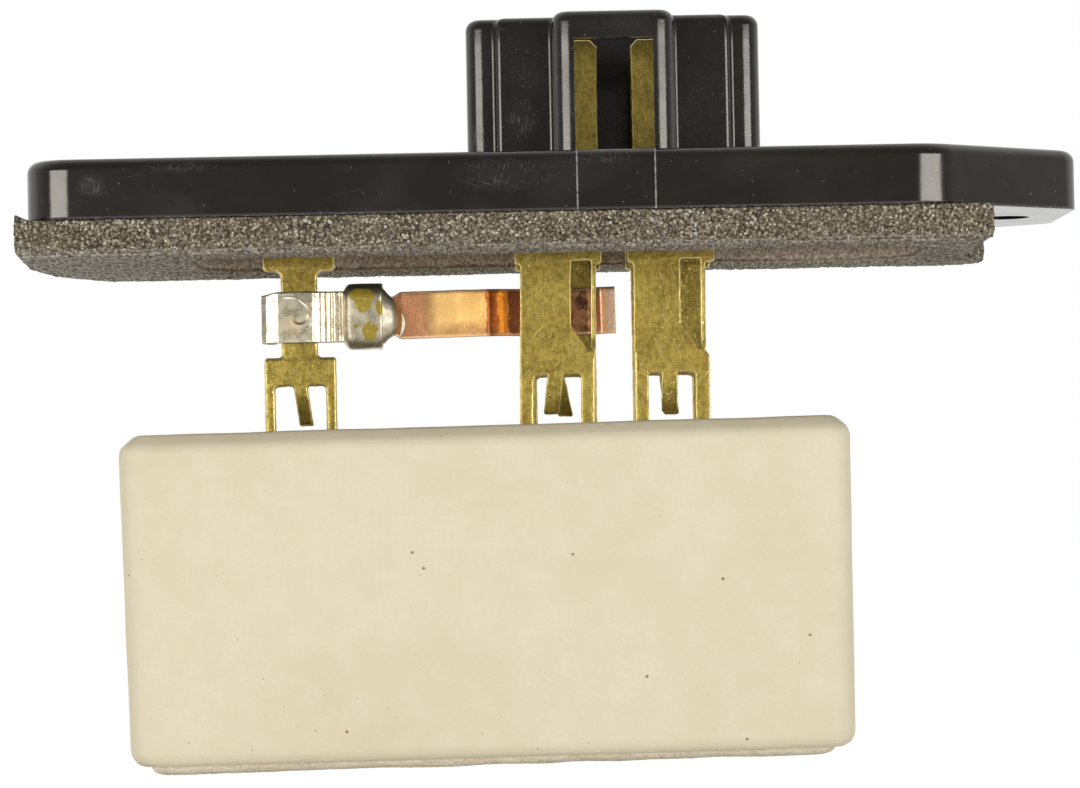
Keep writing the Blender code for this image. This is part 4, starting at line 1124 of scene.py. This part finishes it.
class Surface:  # points and faces of one mesh as it is built ring by ring
    def __init__(self):
        self.verts = []
        self.faces = []
        self.edge = []

    def ring(self, points, z, pale=0.0):
        first = len(self.verts)
        self.verts.extend(Vector((point.x, point.y, z)) for point in points)
        self.edge.extend(pale if isinstance(pale, list) else [pale] * len(points))
        return list(range(first, len(self.verts)))

    def wall(self, lower, upper, openings=()):
        for index in range(len(lower)):
            if index in openings:
                continue
            after = (index + 1) % len(lower)
            self.faces.append((lower[index], lower[after], upper[after], upper[index]))

    def walls(self, rings):
        for lower, upper in zip(rings, rings[1:]):
            self.wall(lower, upper)

    def flat(self, *loops):  # a level face with holes
        flat = [index for loop in loops for index in loop]
        corners = [[Vector((*self.verts[index].xy, 0)) for index in loop] for loop in loops]
        for corner in tessellate_polygon(corners):
            self.faces.append(tuple(flat[index] for index in corner))


def roundOver(radius, steps=6):  # inset and drop over a rounded rim, from the wall up to the top
    turns = [math.pi / 2 * step / steps for step in range(steps + 1)]
    return [(radius * (1 - math.cos(turn)), radius * (1 - math.sin(turn))) for turn in turns]


def makePlate():
    p = plate
    c = connector
    body = Surface()
    loop, witness = plateLoop()
    normals = sideNormals(loop)

    def skirtRing(inset, z, foot=0.0):
        points = [point + normal * inset * lengthening for point, (normal, lengthening) in zip(loop, normals)]
        return body.ring(points, z, [max(foot, 1.0 if line else 0.0) for line in witness])

    foot = p["footRound"]
    skirt = [skirtRing(foot, 0), skirtRing(foot / 3, foot / 3, 0.75), skirtRing(0, foot, 0.55),
             skirtRing(0, foot * 2.5)]
    skirt += [skirtRing(inset, p["height"] - drop) for inset, drop in roundOver(p["rimRound"], 8)]
    body.walls(skirt)

    base = body.ring(socketLoop(-c["foot"]), p["height"])
    screwTop = body.ring(circle(p["screwX"], 0, p["screwHole"] / 2), p["height"])
    screwFoot = body.ring(circle(p["screwX"], 0, p["screwHole"] / 2), 0)
    body.flat(skirt[-1], base, screwTop)
    body.wall(screwTop, screwFoot)

    window = len(socketLoop(0)) // 2 - 1
    outside = [base, body.ring(socketLoop(-c["foot"] / 3), p["height"] + c["foot"] / 3),
               body.ring(socketLoop(0), p["height"] + c["foot"])]

    def windowRing(inset, z, pale):
        points = socketLoop(inset)
        return body.ring(points, z, [pale if index in (window, window + 1) else 0.0
                                     for index in range(len(points))])

    # Painted highlight: the window's side edges get pale edge values, so pale lines are painted along them.
    sill = windowRing(0, c["windowLow"], 1.0)
    lintel = windowRing(0, c["windowHigh"], 0.8)
    outside.append(sill)
    body.walls(outside)
    body.wall(sill, lintel, [window])
    above = [lintel, body.ring(socketLoop(0), c["windowHigh"] + c["edgeLine"])]
    above += [body.ring(socketLoop(inset), c["top"] - drop) for inset, drop in roundOver(c["rimRound"])]
    lip = c["innerRound"]
    above += [body.ring(socketLoop(c["wall"] - drop), c["top"] - inset)
              for inset, drop in reversed(roundOver(lip, 3))]
    innerLintel = windowRing(c["wall"], c["windowHigh"], 0.3)
    innerSill = windowRing(c["wall"], c["windowLow"], 0.3)
    body.walls(above + [innerLintel])
    body.wall(innerLintel, innerSill, [window])
    floor = body.ring(socketLoop(c["wall"]), c["floor"])
    body.wall(innerSill, floor)
    reveal = [(sill[window], innerSill[window]), (sill[window + 1], innerSill[window + 1]),
              (lintel[window + 1], innerLintel[window + 1]), (lintel[window], innerLintel[window])]
    for (here, innerHere), (after, innerAfter) in zip(reveal, reveal[1:] + reveal[:1]):
        body.faces.append((here, after, innerAfter, innerHere))

    upper = []
    lower = []
    for column in terminalColumns:
        for row in terminalRows:
            slot = rectangle(column + terminal["bladeOffset"], row, p["bladeSlot"])
            upper.append(body.ring(slot, c["floor"]))
            lower.append(body.ring(slot, 0))
            body.wall(upper[-1], lower[-1])
    stake = rectangle(leftLeg["x"], 0, p["stakeSlot"])
    stakeFoot = body.ring(stake, 0)
    stakeTop = body.ring(stake, p["stakeDepth"])
    body.wall(stakeFoot, stakeTop)
    body.faces.append(tuple(stakeTop))
    body.flat(floor, *upper)
    body.flat(skirt[0], screwFoot, stakeFoot, *lower)
    makePiece("moulded_plate", body.verts, body.faces, blackMoulding,
              ["mounting_plate"], body.edge, sharp=42, weighted=True)


makePlate()
print("plate and connector made")


# Thermal fuse: clip with its cup, solder and copper strip

fuse = {"middle": -8.8}
clip = {
    "sheet": 0.4, "height": 5.2, "edgeRound": 0.11, "spacing": 0.09, "rows": 58,
    "endDrop": 0.35, "dropFrom": -28.4, "dropLength": 1.7,
    "uneven": (0.025, 1.1, 4),  # amount, size and seed of the noise that moves its points
    # plan of the sheet's middle: x, y and a radius at each bend
    "plan": [(-28.8, 2.2, 0), (-29.95, 2.2, 0.8), (-29.95, -0.30, 0.08), (-29.52, -0.64, 0.05),
             (-29.44, -0.62, 0.03), (-28.40, -0.96, 0.20), (-25.00, -0.96, 0.18), (-24.30, -0.64, 0.05),
             (-24.08, -0.62, 0.05), (-23.78, -0.50, 0.05), (-23.52, -0.49, 0.05), (-23.26, -0.39, 0.05),
             (-23.04, -0.38, 0.03), (-22.96, -0.26, 0.03), (-22.76, -0.26, 0.03), (-22.68, -0.38, 0.03),
             (-22.30, -0.36, 0.05), (-22.00, -0.26, 0.05), (-21.60, -0.32, 0)],
    "markX": -26.2, "markZ": 0.08, "markFloor": 0.64, "markWall": 0.16, "markDepth": 0.075,
    "lipRadius": 0.90, "lipHeight": 0.02, "lineWidth": 0.08, "frontFrom": -0.8,
    "scarX": -27.4, "scarZ": -0.35, "scarRadius": 2.36, "scarHeight": 0.035,
    "breakSize": 0.5, "breakShift": 0.35,
}


def stakeMark(point, z):  # how far the front is pressed in, around the round mark and its scar
    m = clip
    if point.y >= m["frontFrom"]:
        return 0.0
    x = point.x
    apart = math.hypot(x - m["markX"], z - m["markZ"])
    climb = min(1.0, max(0.0, (apart - m["markFloor"]) / m["markWall"]))
    lip = m["lipHeight"] * math.exp(-((apart - m["lipRadius"]) / m["lineWidth"]) ** 2)
    depth = m["markDepth"] * (1 - climb) - lip
    scar = abs(math.hypot(x - m["scarX"], z - m["scarZ"]) - m["scarRadius"])
    broken = max(0.0, noise.noise(Vector((x, 0, z)) / m["breakSize"]) + m["breakShift"])
    return depth - m["scarHeight"] * broken * math.exp(-(scar / m["lineWidth"]) ** 2)


def sweptSheet(path, thickness, height, rows, edgeRound, drop=None, press=None):
    # A strip of sheet that follows a plan. Returns points, faces and edge values.
    half = thickness / 2
    quarter = [math.radians(angle) for angle in (0, 45, 90)]
    lower = [(half - edgeRound * (1 - math.cos(turn)), -height / 2 + edgeRound * (1 - math.sin(turn)))
             for turn in quarter]
    face = [(half, -height / 2 + edgeRound + (height - 2 * edgeRound) * row / rows) for row in range(1, rows)]
    front = list(reversed(lower)) + face + [(side, -z) for side, z in lower]
    ring = front + [(-side, z) for side, z in reversed(front)]
    verts = []
    edge = []
    for index, point in enumerate(path):
        before = path[max(index - 1, 0)]
        after = path[min(index + 1, len(path) - 1)]
        along = (after - before).normalized()
        out = Vector((along.y, -along.x))
        for side, z in ring:
            lowered = drop(point.x, z) if drop else 0.0
            pressed = press(point, z) if press and side > 0 else 0.0
            spot = point + out * (side - pressed)
            verts.append(Vector((spot.x, spot.y, z - lowered)))
            edge.append(1.0 if abs(z) > height / 2 - edgeRound * 1.01 else 0.0)
    size = len(ring)
    faces = tubeFaces(size, len(verts))
    for start in (0, len(verts) - size):
        faces.extend((start + index, start + index + 1, start + size - 2 - index, start + size - 1 - index)
                     for index in range(size // 2 - 1))
    return verts, faces, edge


def lofted(sections):  # a skin over sections of equal length, with flat ends
    verts = [point for section in sections for point in section]
    size = len(sections[0])
    faces = tubeFaces(size, len(verts))
    faces.append(tuple(range(size)))
    faces.append(tuple(range(len(verts) - size, len(verts))))
    return verts, faces


def shaken(verts, amount, size, seed):  # moves points by a smooth noise
    shift = Vector((seed, 2 * seed, 3 * seed))
    return [vert + noise.noise_vector(vert / size + shift) * amount for vert in verts]


cup = {
    "start": -21.85, "length": 4.0, "halfHeight": 3.35, "halfDepth": 2.0, "corner": 1.5, "around": 112,
    "uneven": (0.07, 1.3, 9),
    # distance from its start, and how far the section is drawn in there: height, depth
    "profile": [(0.0, 0.98, 1.0), (0.03, 0.86, 0.80), (0.12, 0.66, 0.55), (0.32, 0.34, 0.28),
                (0.50, 0.12, 0.12), (0.68, 0.03, 0.04), (0.95, 0.0, 0.0), (2.0, 0.02, 0.0),
                (3.1, 0.02, 0.0), (3.75, 0.0, 0.0), (3.93, 0.02, 0.02), (4.0, 0.09, 0.09)],
    "mouth": [(0.0, 0.24), (0.06, 0.36), (0.25, 0.4), (1.2, 0.4)],  # distance back inside, and wall there
}


def cupSection(x, lessHeight, lessDepth):
    halfDepth = cup["halfDepth"] - lessDepth
    halfHeight = cup["halfHeight"] - lessHeight
    radius = min(cup["corner"], halfDepth * 0.85)
    outline = roundedBox(halfDepth, halfHeight, radius, cup["around"])
    return [Vector((x, point.x, point.y)) for point in outline]


def makeClip():
    c = clip
    plan = refined(roundedLoop(c["plan"], closed=False, steps=6), c["spacing"], closed=False)

    def hang(x, z):  # the left end is cut a little lower
        share = max(0.0, min(1.0, (c["dropFrom"] - x) / c["dropLength"]))
        return c["endDrop"] * share * (z / c["height"] + 0.5)

    verts, faces, edge = sweptSheet(plan, c["sheet"], c["height"], c["rows"], c["edgeRound"], hang, stakeMark)
    verts = shaken(verts, *c["uneven"])
    end = cup["start"] + cup["length"]
    sections = [cupSection(cup["start"] + along, high, deep) for along, high, deep in cup["profile"]]
    sections += [cupSection(end - back, wall, wall) for back, wall in cup["mouth"]]
    cupVerts, cupFaces = lofted(sections)
    verts, faces = joined(verts, faces, shaken(cupVerts, *cup["uneven"]), cupFaces)
    edge += [0.0] * len(cupVerts)
    makePiece("fuse_clip_and_cup", placed(verts, (0, 0, fuse["middle"])), faces, tinPlate,
              ["fuse_clip"], edge, sharp=65)


solder = {
    "around": 64, "sag": 0.12, "uneven": (0.06, 1.2, 2),
    # distance from the cup's mouth, half height and half depth of the solder there
    "profile": [(-1.2, 2.85, 1.5), (-0.10, 2.88, 1.53), (0.05, 2.83, 1.50), (0.20, 2.70, 1.44),
                (0.36, 2.50, 1.36), (0.52, 2.33, 1.29), (0.68, 2.20, 1.24), (0.84, 2.10, 1.18),
                (0.98, 1.99, 1.11), (1.12, 1.83, 1.02), (1.24, 1.65, 0.93), (1.35, 1.43, 0.83),
                (1.45, 1.18, 0.72), (1.53, 0.92, 0.61), (1.60, 0.64, 0.50), (1.65, 0.34, 0.36),
                (1.67, 0.05, 0.10)],
    "roundness": 2.5,
    "crescent": {"middle": (-17.6, -0.8), "radius": 2.07, "from": -48, "to": 34, "width": 0.46,
                 "proud": 0.14, "clear": 0.05, "steps": 24, "around": 10},
}


def makeSolderPieces():
    s = solder
    mouth = cup["start"] + cup["length"]
    turns = [2 * math.pi * step / s["around"] for step in range(s["around"])]
    power = 2 / s["roundness"]

    def bulge(x, halfHeight, halfDepth, sag):
        return [Vector((x, math.copysign(abs(math.cos(turn)) ** power, math.cos(turn)) * halfDepth,
                        math.copysign(abs(math.sin(turn)) ** power, math.sin(turn)) * halfHeight - sag))
                for turn in turns]

    sections = [bulge(mouth + along, halfHeight, halfDepth, s["sag"] * max(0.0, along))
                for along, halfHeight, halfDepth in s["profile"]]
    verts, faces = lofted(sections)
    c = s["crescent"]
    face = -copperStrip["sheet"] / 2 - c["clear"]
    arounds = [2 * math.pi * step / c["around"] for step in range(c["around"])]
    rings = []
    for step in range(c["steps"] + 1):
        share = step / c["steps"]
        turn = math.radians(c["from"] + (c["to"] - c["from"]) * share)
        width = c["width"] * math.sin(math.pi * (0.04 + 0.92 * share)) ** 0.7 / 2  # thin at both ends
        outward = Vector((math.cos(turn), 0, math.sin(turn)))
        middle = Vector((c["middle"][0], face, c["middle"][1])) + outward * (c["radius"] - width)
        proud = Vector((0, c["proud"], 0))
        rings.append([middle + outward * width * math.cos(around) - proud * math.sin(around)
                      for around in arounds])
    verts, faces = joined(shaken(verts, *s["uneven"]), faces, *lofted(rings))
    makePiece("fuse_solder_dome", placed(verts, (0, 0, fuse["middle"])), faces, solderMetal,
              ["fuse_solder"], sharp=70)


copperStrip = {
    "sheet": 0.35, "height": 4.8, "edgeRound": 0.08, "spacing": 0.22, "rows": 12, "tilt": -1.0,
    "start": -16.95, "endTaper": 0.55, "taperLength": 0.95, "uneven": (0.03, 1.8, 6),
    # plan: x, y and a radius at each bend
    "plan": [(-16.95, 0, 0), (-15.9, -0.02, 3.0), (-13.4, -0.24, 6.0), (-10.4, -0.10, 6.0),
             (-7.05, 0.22, 1.2), (-5.6, 1.05, 1.2), (-1.60, 4.92, 1.6), (2.95, 4.875, 0.5),
             (3.95, 4.62, 0.25), (4.45, 4.06, 0.35), (5.84, 3.98, 0)],
}


def makeStrip():
    s = copperStrip
    plan = refined(roundedLoop(s["plan"], closed=False, steps=8), s["spacing"], closed=False)
    verts, faces, edge = sweptSheet(plan, s["sheet"], s["height"], s["rows"], s["edgeRound"])
    for vert in verts:
        into = max(0.0, 1 - (vert.x - s["start"]) / s["taperLength"])
        vert.z -= math.copysign(s["endTaper"] * into, vert.z) * abs(vert.z) * 2 / s["height"]
    turn = Matrix.Rotation(math.radians(s["tilt"]), 3, "Y")
    pivot = Vector((s["start"], 0, 0))
    verts = [turn @ (vert - pivot) + pivot for vert in shaken(verts, *s["uneven"])]
    makePiece("copper_spring_strip", placed(verts, (0, 0, fuse["middle"])), faces, copper,
              ["copper_strip"], edge, sharp=50)


makeClip()
makeSolderPieces()
makeStrip()
print("thermal fuse made")


# Ceramic block

block = {
    "x": -7.7, "top": -20.2, "tilt": -0.6,
    "length": 72.9, "depth": 19.6, "height": 33.0, "taper": 0.4, "corner": 2.1, "wall": 2.0,
    "chamferIn": 1.75, "chamferDown": 1.35, "footRound": 1.75, "hollowClear": 0.1, "mouthLip": 0.15,
    "spacing": 1.2, "rowSpacing": 1.4, "uneven": 0.05, "unevenSize": 5.0,
    "leftSlot": 7.9, "slotWidth": 8.2, "slotDepth": 1.4,
    "wornFrom": 0.97, "wornTop": 1.4, "wornFoot": 1.2, "wear": 0.6,
}


def blockPoints(inset, z, count):  # the block's section at a height under its top
    b = block
    drawn = b["taper"] * -z / b["height"] + inset
    corner = max(b["corner"] - inset, 0.4)
    return roundedBox(b["length"] / 2 - drawn, b["depth"] / 2 - drawn, corner, count)


def blockProfile():  # inset and height, from the middle of the top face's edge down to the foot
    b = block
    corners = [(b["chamferIn"] + 3.0, 0, 0), (b["chamferIn"], 0, 1.4), (0, -b["chamferDown"], 1.6),
               (0, -b["height"], b["footRound"]), (b["wall"], -b["height"], 0)]
    return refined(roundedLoop(corners, closed=False, steps=7), b["rowSpacing"], closed=False)


def setBlock(verts):
    turn = Matrix.Rotation(math.radians(block["tilt"]), 3, "Y")
    return [turn @ vert + Vector((block["x"], 0, block["top"])) for vert in verts]


def makeCase():
    b = block
    count = round(2 * (b["length"] + b["depth"]) / b["spacing"])
    body = Surface()

    def section(inset, z):
        return body.ring(blockPoints(inset, z, count), z)

    outside = [section(inset, z) for inset, z in blockProfile()]
    hollow = b["wall"] + b["hollowClear"]
    inner = [outside[-1], section(hollow, -b["height"] + b["mouthLip"]), section(hollow, -b["wall"])]
    body.walls(outside)
    body.walls(inner)
    slots = [(leftLeg["x"], 0, b["leftSlot"])]
    slots += [(column, row, b["slotWidth"]) for column in terminalColumns for row in terminalRows]
    tops = []
    feet = []
    for x, y, width in slots:
        slot = rectangle(x - b["x"], y, (width, b["slotDepth"]))
        tops.append(body.ring(slot, 0))
        feet.append(body.ring(slot, -b["wall"]))
        body.wall(feet[-1], tops[-1])
    body.flat(outside[0], *tops)
    body.flat(inner[-1], *feet)
    edge = []
    for vert in body.verts:
        side = max(abs(vert.x) / (b["length"] / 2), abs(vert.y) / (b["depth"] / 2))
        nearRim = vert.z > -b["wornTop"] or vert.z < b["wornFoot"] - b["height"]
        edge.append(b["wear"] if side > b["wornFrom"] and nearRim else 0.0)
    moved = [vert + noise.noise_vector(vert / b["unevenSize"]) * b["uneven"] for vert in body.verts]
    makePiece("cream_block", setBlock(moved), body.faces, ceramic,
              ["ceramic_case"], edge, sharp=38)


cementFill = {
    "clear": 0.02, "topClear": 0.3, "columns": 240, "rows": 56,
    "proud": 0.88, "leftProud": 0.08, "step": 1.9,
    "grainSize": 0.45, "grain": 0.06, "lumpSize": 5.0, "lump": 0.16,
}


def makeCement():
    b = block
    c = cementFill
    inset = b["wall"] + c["clear"]
    halfX = b["length"] / 2 - b["taper"] - inset
    halfY = b["depth"] / 2 - b["taper"] - inset
    verts = []
    faces = []
    for row in range(c["rows"] + 1):
        for column in range(c["columns"] + 1):
            x = halfX * (2 * column / c["columns"] - 1)
            y = halfY * (2 * row / c["rows"] - 1)
            near = min(halfX - abs(x), halfY - abs(y))
            swell = math.sqrt(1 - (1 - min(1.0, near / c["step"])) ** 2)
            rough = noise.noise(Vector((x, y, 5)) / c["grainSize"]) * c["grain"]
            rough += noise.noise(Vector((x, y, 1)) / c["lumpSize"]) * c["lump"]
            proud = c["proud"] + c["leftProud"] * (1 - (x + halfX) / halfX)
            verts.append(Vector((x, y, -b["height"] - swell * (proud + rough))))
    last = c["columns"]
    wide = last + 1
    for row in range(c["rows"]):
        for column in range(last):
            here = row * wide + column
            faces.append((here, here + 1, here + wide + 1, here + wide))
    rim = (list(range(wide)) + [row * wide + last for row in range(1, c["rows"] + 1)]
           + [c["rows"] * wide + column for column in range(last - 1, -1, -1)]
           + [row * wide for row in range(c["rows"] - 1, 0, -1)])
    top = []
    for index in rim:
        top.append(len(verts))
        verts.append(Vector((verts[index].x, verts[index].y, -b["wall"] - c["topClear"])))
    for position, index in enumerate(rim):
        after = (position + 1) % len(rim)
        faces.append((index, rim[after], top[after], top[position]))
    faces.append(tuple(top))
    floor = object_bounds()[0][2] / mm + 0.02
    verts = [Vector((vert.x, vert.y, max(vert.z, floor))) for vert in setBlock(verts)]
    makePiece("cement_filling", verts, faces, cement, ["cement_fill"], sharp=70)


makeCase()
makeCement()
print("ceramic block made")


# Carried-over nodes

innerFinishes = {"resistor_core": glassFibre, "resistor_winding": resistanceWire, "end_cap": capSteel}


def dressNodes():
    for name, node in nodes.items():
        for start, finish in innerFinishes.items():
            if name.startswith(start):
                for socket in node.material_slots:
                    socket.material = finish


dressNodes()
print("carried-over nodes dressed")


# Floor, light and camera

studio = {
    "floorDrop": 20.0,          # below the part's lowest point
    "floorSize": 6000.0,
    "floorColour": rgb(0.84, 0.84, 0.83),
    "floorShade": 0.98,
    "floorGlow": rgb(0.45, 0.45, 0.45),     # for camera and mirror rays only, so the floor looks white
    "backLevel": 1.0,           # world light from behind the part
    "frontLevel": 0.24,         # and from the camera's side
    "lampDistance": 900.0,
    "lampTarget": (0, 0, -20),
    "lamps": [                  # degrees to the right of the camera, degrees up, width, height, watts
        (-36, 3, 660, 230, 3.8),
        (37, 3, 620, 230, 3.6),
    ],
}


def backdropRays(tree):  # 1 for a ray from the camera, or one mirrored or let through by the part
    rays = addNode(tree, "ShaderNodeLightPath").outputs
    mirrored = calc(tree, "MAXIMUM", rays["Is Glossy Ray"], rays["Is Transmission Ray"])
    return calc(tree, "MAXIMUM", rays["Is Camera Ray"], mirrored)


def makeFloor():
    low = cadBounds[0][2] / mm - studio["floorDrop"]
    half = studio["floorSize"] / 2
    mesh = bpy.data.meshes.new("floor")
    corners = [(-half, -half, low), (half, -half, low), (half, half, low), (-half, half, low)]
    mesh.from_pydata([Vector(corner) * mm for corner in corners], [], [(0, 1, 2, 3)])
    material, tree, shader, at = newMaterial("pale floor", Roughness=0.8)
    shade = useGroup(tree, clouds, Position=at, Size=400.0, Detail=1.0, Low=0.0, High=1.0)
    pale = studio["floorColour"]
    shaded = rgb(*(value * studio["floorShade"] for value in pale[:3]))
    connect(tree, shader, mixColour(tree, shade, pale, shaded))
    glow = mixColour(tree, backdropRays(tree), rgb(0, 0, 0), studio["floorGlow"])
    tree.links.new(glow, shader.inputs["Emission Color"])
    shader.inputs["Emission Strength"].default_value = 1.0
    mesh.materials.append(material)
    floor = bpy.data.objects.new("floor", mesh)
    bpy.context.scene.collection.objects.link(floor)


def makeWorld():
    # White where it is seen directly; as light it is brighter behind the part than in front.
    world = bpy.data.worlds.new("studio")
    world.use_nodes = True
    tree = world.node_tree
    tree.nodes.clear()
    toward = addNode(tree, "ShaderNodeTexCoord").outputs["Generated"]
    depth = axes(tree, toward)["Y"]
    level = remap(tree, depth, -0.5, 0.5, studio["frontLevel"], studio["backLevel"])
    behind = calc(tree, "MULTIPLY", backdropRays(tree), remap(tree, depth, 0.0, 0.2))
    strength = calc(tree, "MAXIMUM", level, behind)
    seen = addNode(tree, "ShaderNodeLightPath").outputs["Is Camera Ray"]
    strength = calc(tree, "MAXIMUM", strength, seen)
    light = addNode(tree, "ShaderNodeBackground", {"Color": rgb(1, 1, 1), "Strength": strength})
    addNode(tree, "ShaderNodeOutputWorld", {"Surface": light.outputs[0]})
    bpy.context.scene.world = world


def makeLamps():
    target = Vector(studio["lampTarget"]) * mm
    for number, (right, up, width, height, watts) in enumerate(studio["lamps"], 1):
        lamp = bpy.data.lights.new(f"softbox {number}", "AREA")
        lamp.energy = watts
        lamp.shape = "RECTANGLE"
        lamp.size = width * mm
        lamp.size_y = height * mm
        holder = bpy.data.objects.new(lamp.name, lamp)
        turn = Matrix.Rotation(math.radians(right), 3, "Z") @ Matrix.Rotation(math.radians(-up), 3, "X")
        holder.location = target + turn @ Vector((0, -studio["lampDistance"] * mm, 0))
        holder.rotation_euler = (target - holder.location).to_track_quat("-Z", "Y").to_euler()
        bpy.context.scene.collection.objects.link(holder)


photoView = {
    "place": (-2.05, -413.5, -28.15),
    "pitch": 1.545,             # degrees up
    "roll": 1.1,                # degrees, right side of the picture up
    "lens": 135.9,
    "sensor": 36.0,
}


def makeCamera():
    camera = bpy.data.cameras.new("photo view")
    camera.lens = photoView["lens"]
    camera.sensor_width = photoView["sensor"]
    camera.clip_start = 0.01
    holder = bpy.data.objects.new("photo view", camera)
    holder.matrix_world = (
        Matrix.Translation(Vector(photoView["place"]) * mm)
        @ Matrix.Rotation(math.radians(90 + photoView["pitch"]), 4, "X")
        @ Matrix.Rotation(math.radians(-photoView["roll"]), 4, "Z"))
    bpy.context.scene.collection.objects.link(holder)
    bpy.context.scene.camera = holder


makeFloor()
makeWorld()
makeLamps()
makeCamera()
bpy.context.scene.view_settings.view_transform = "Standard"
print("floor, light and camera made")
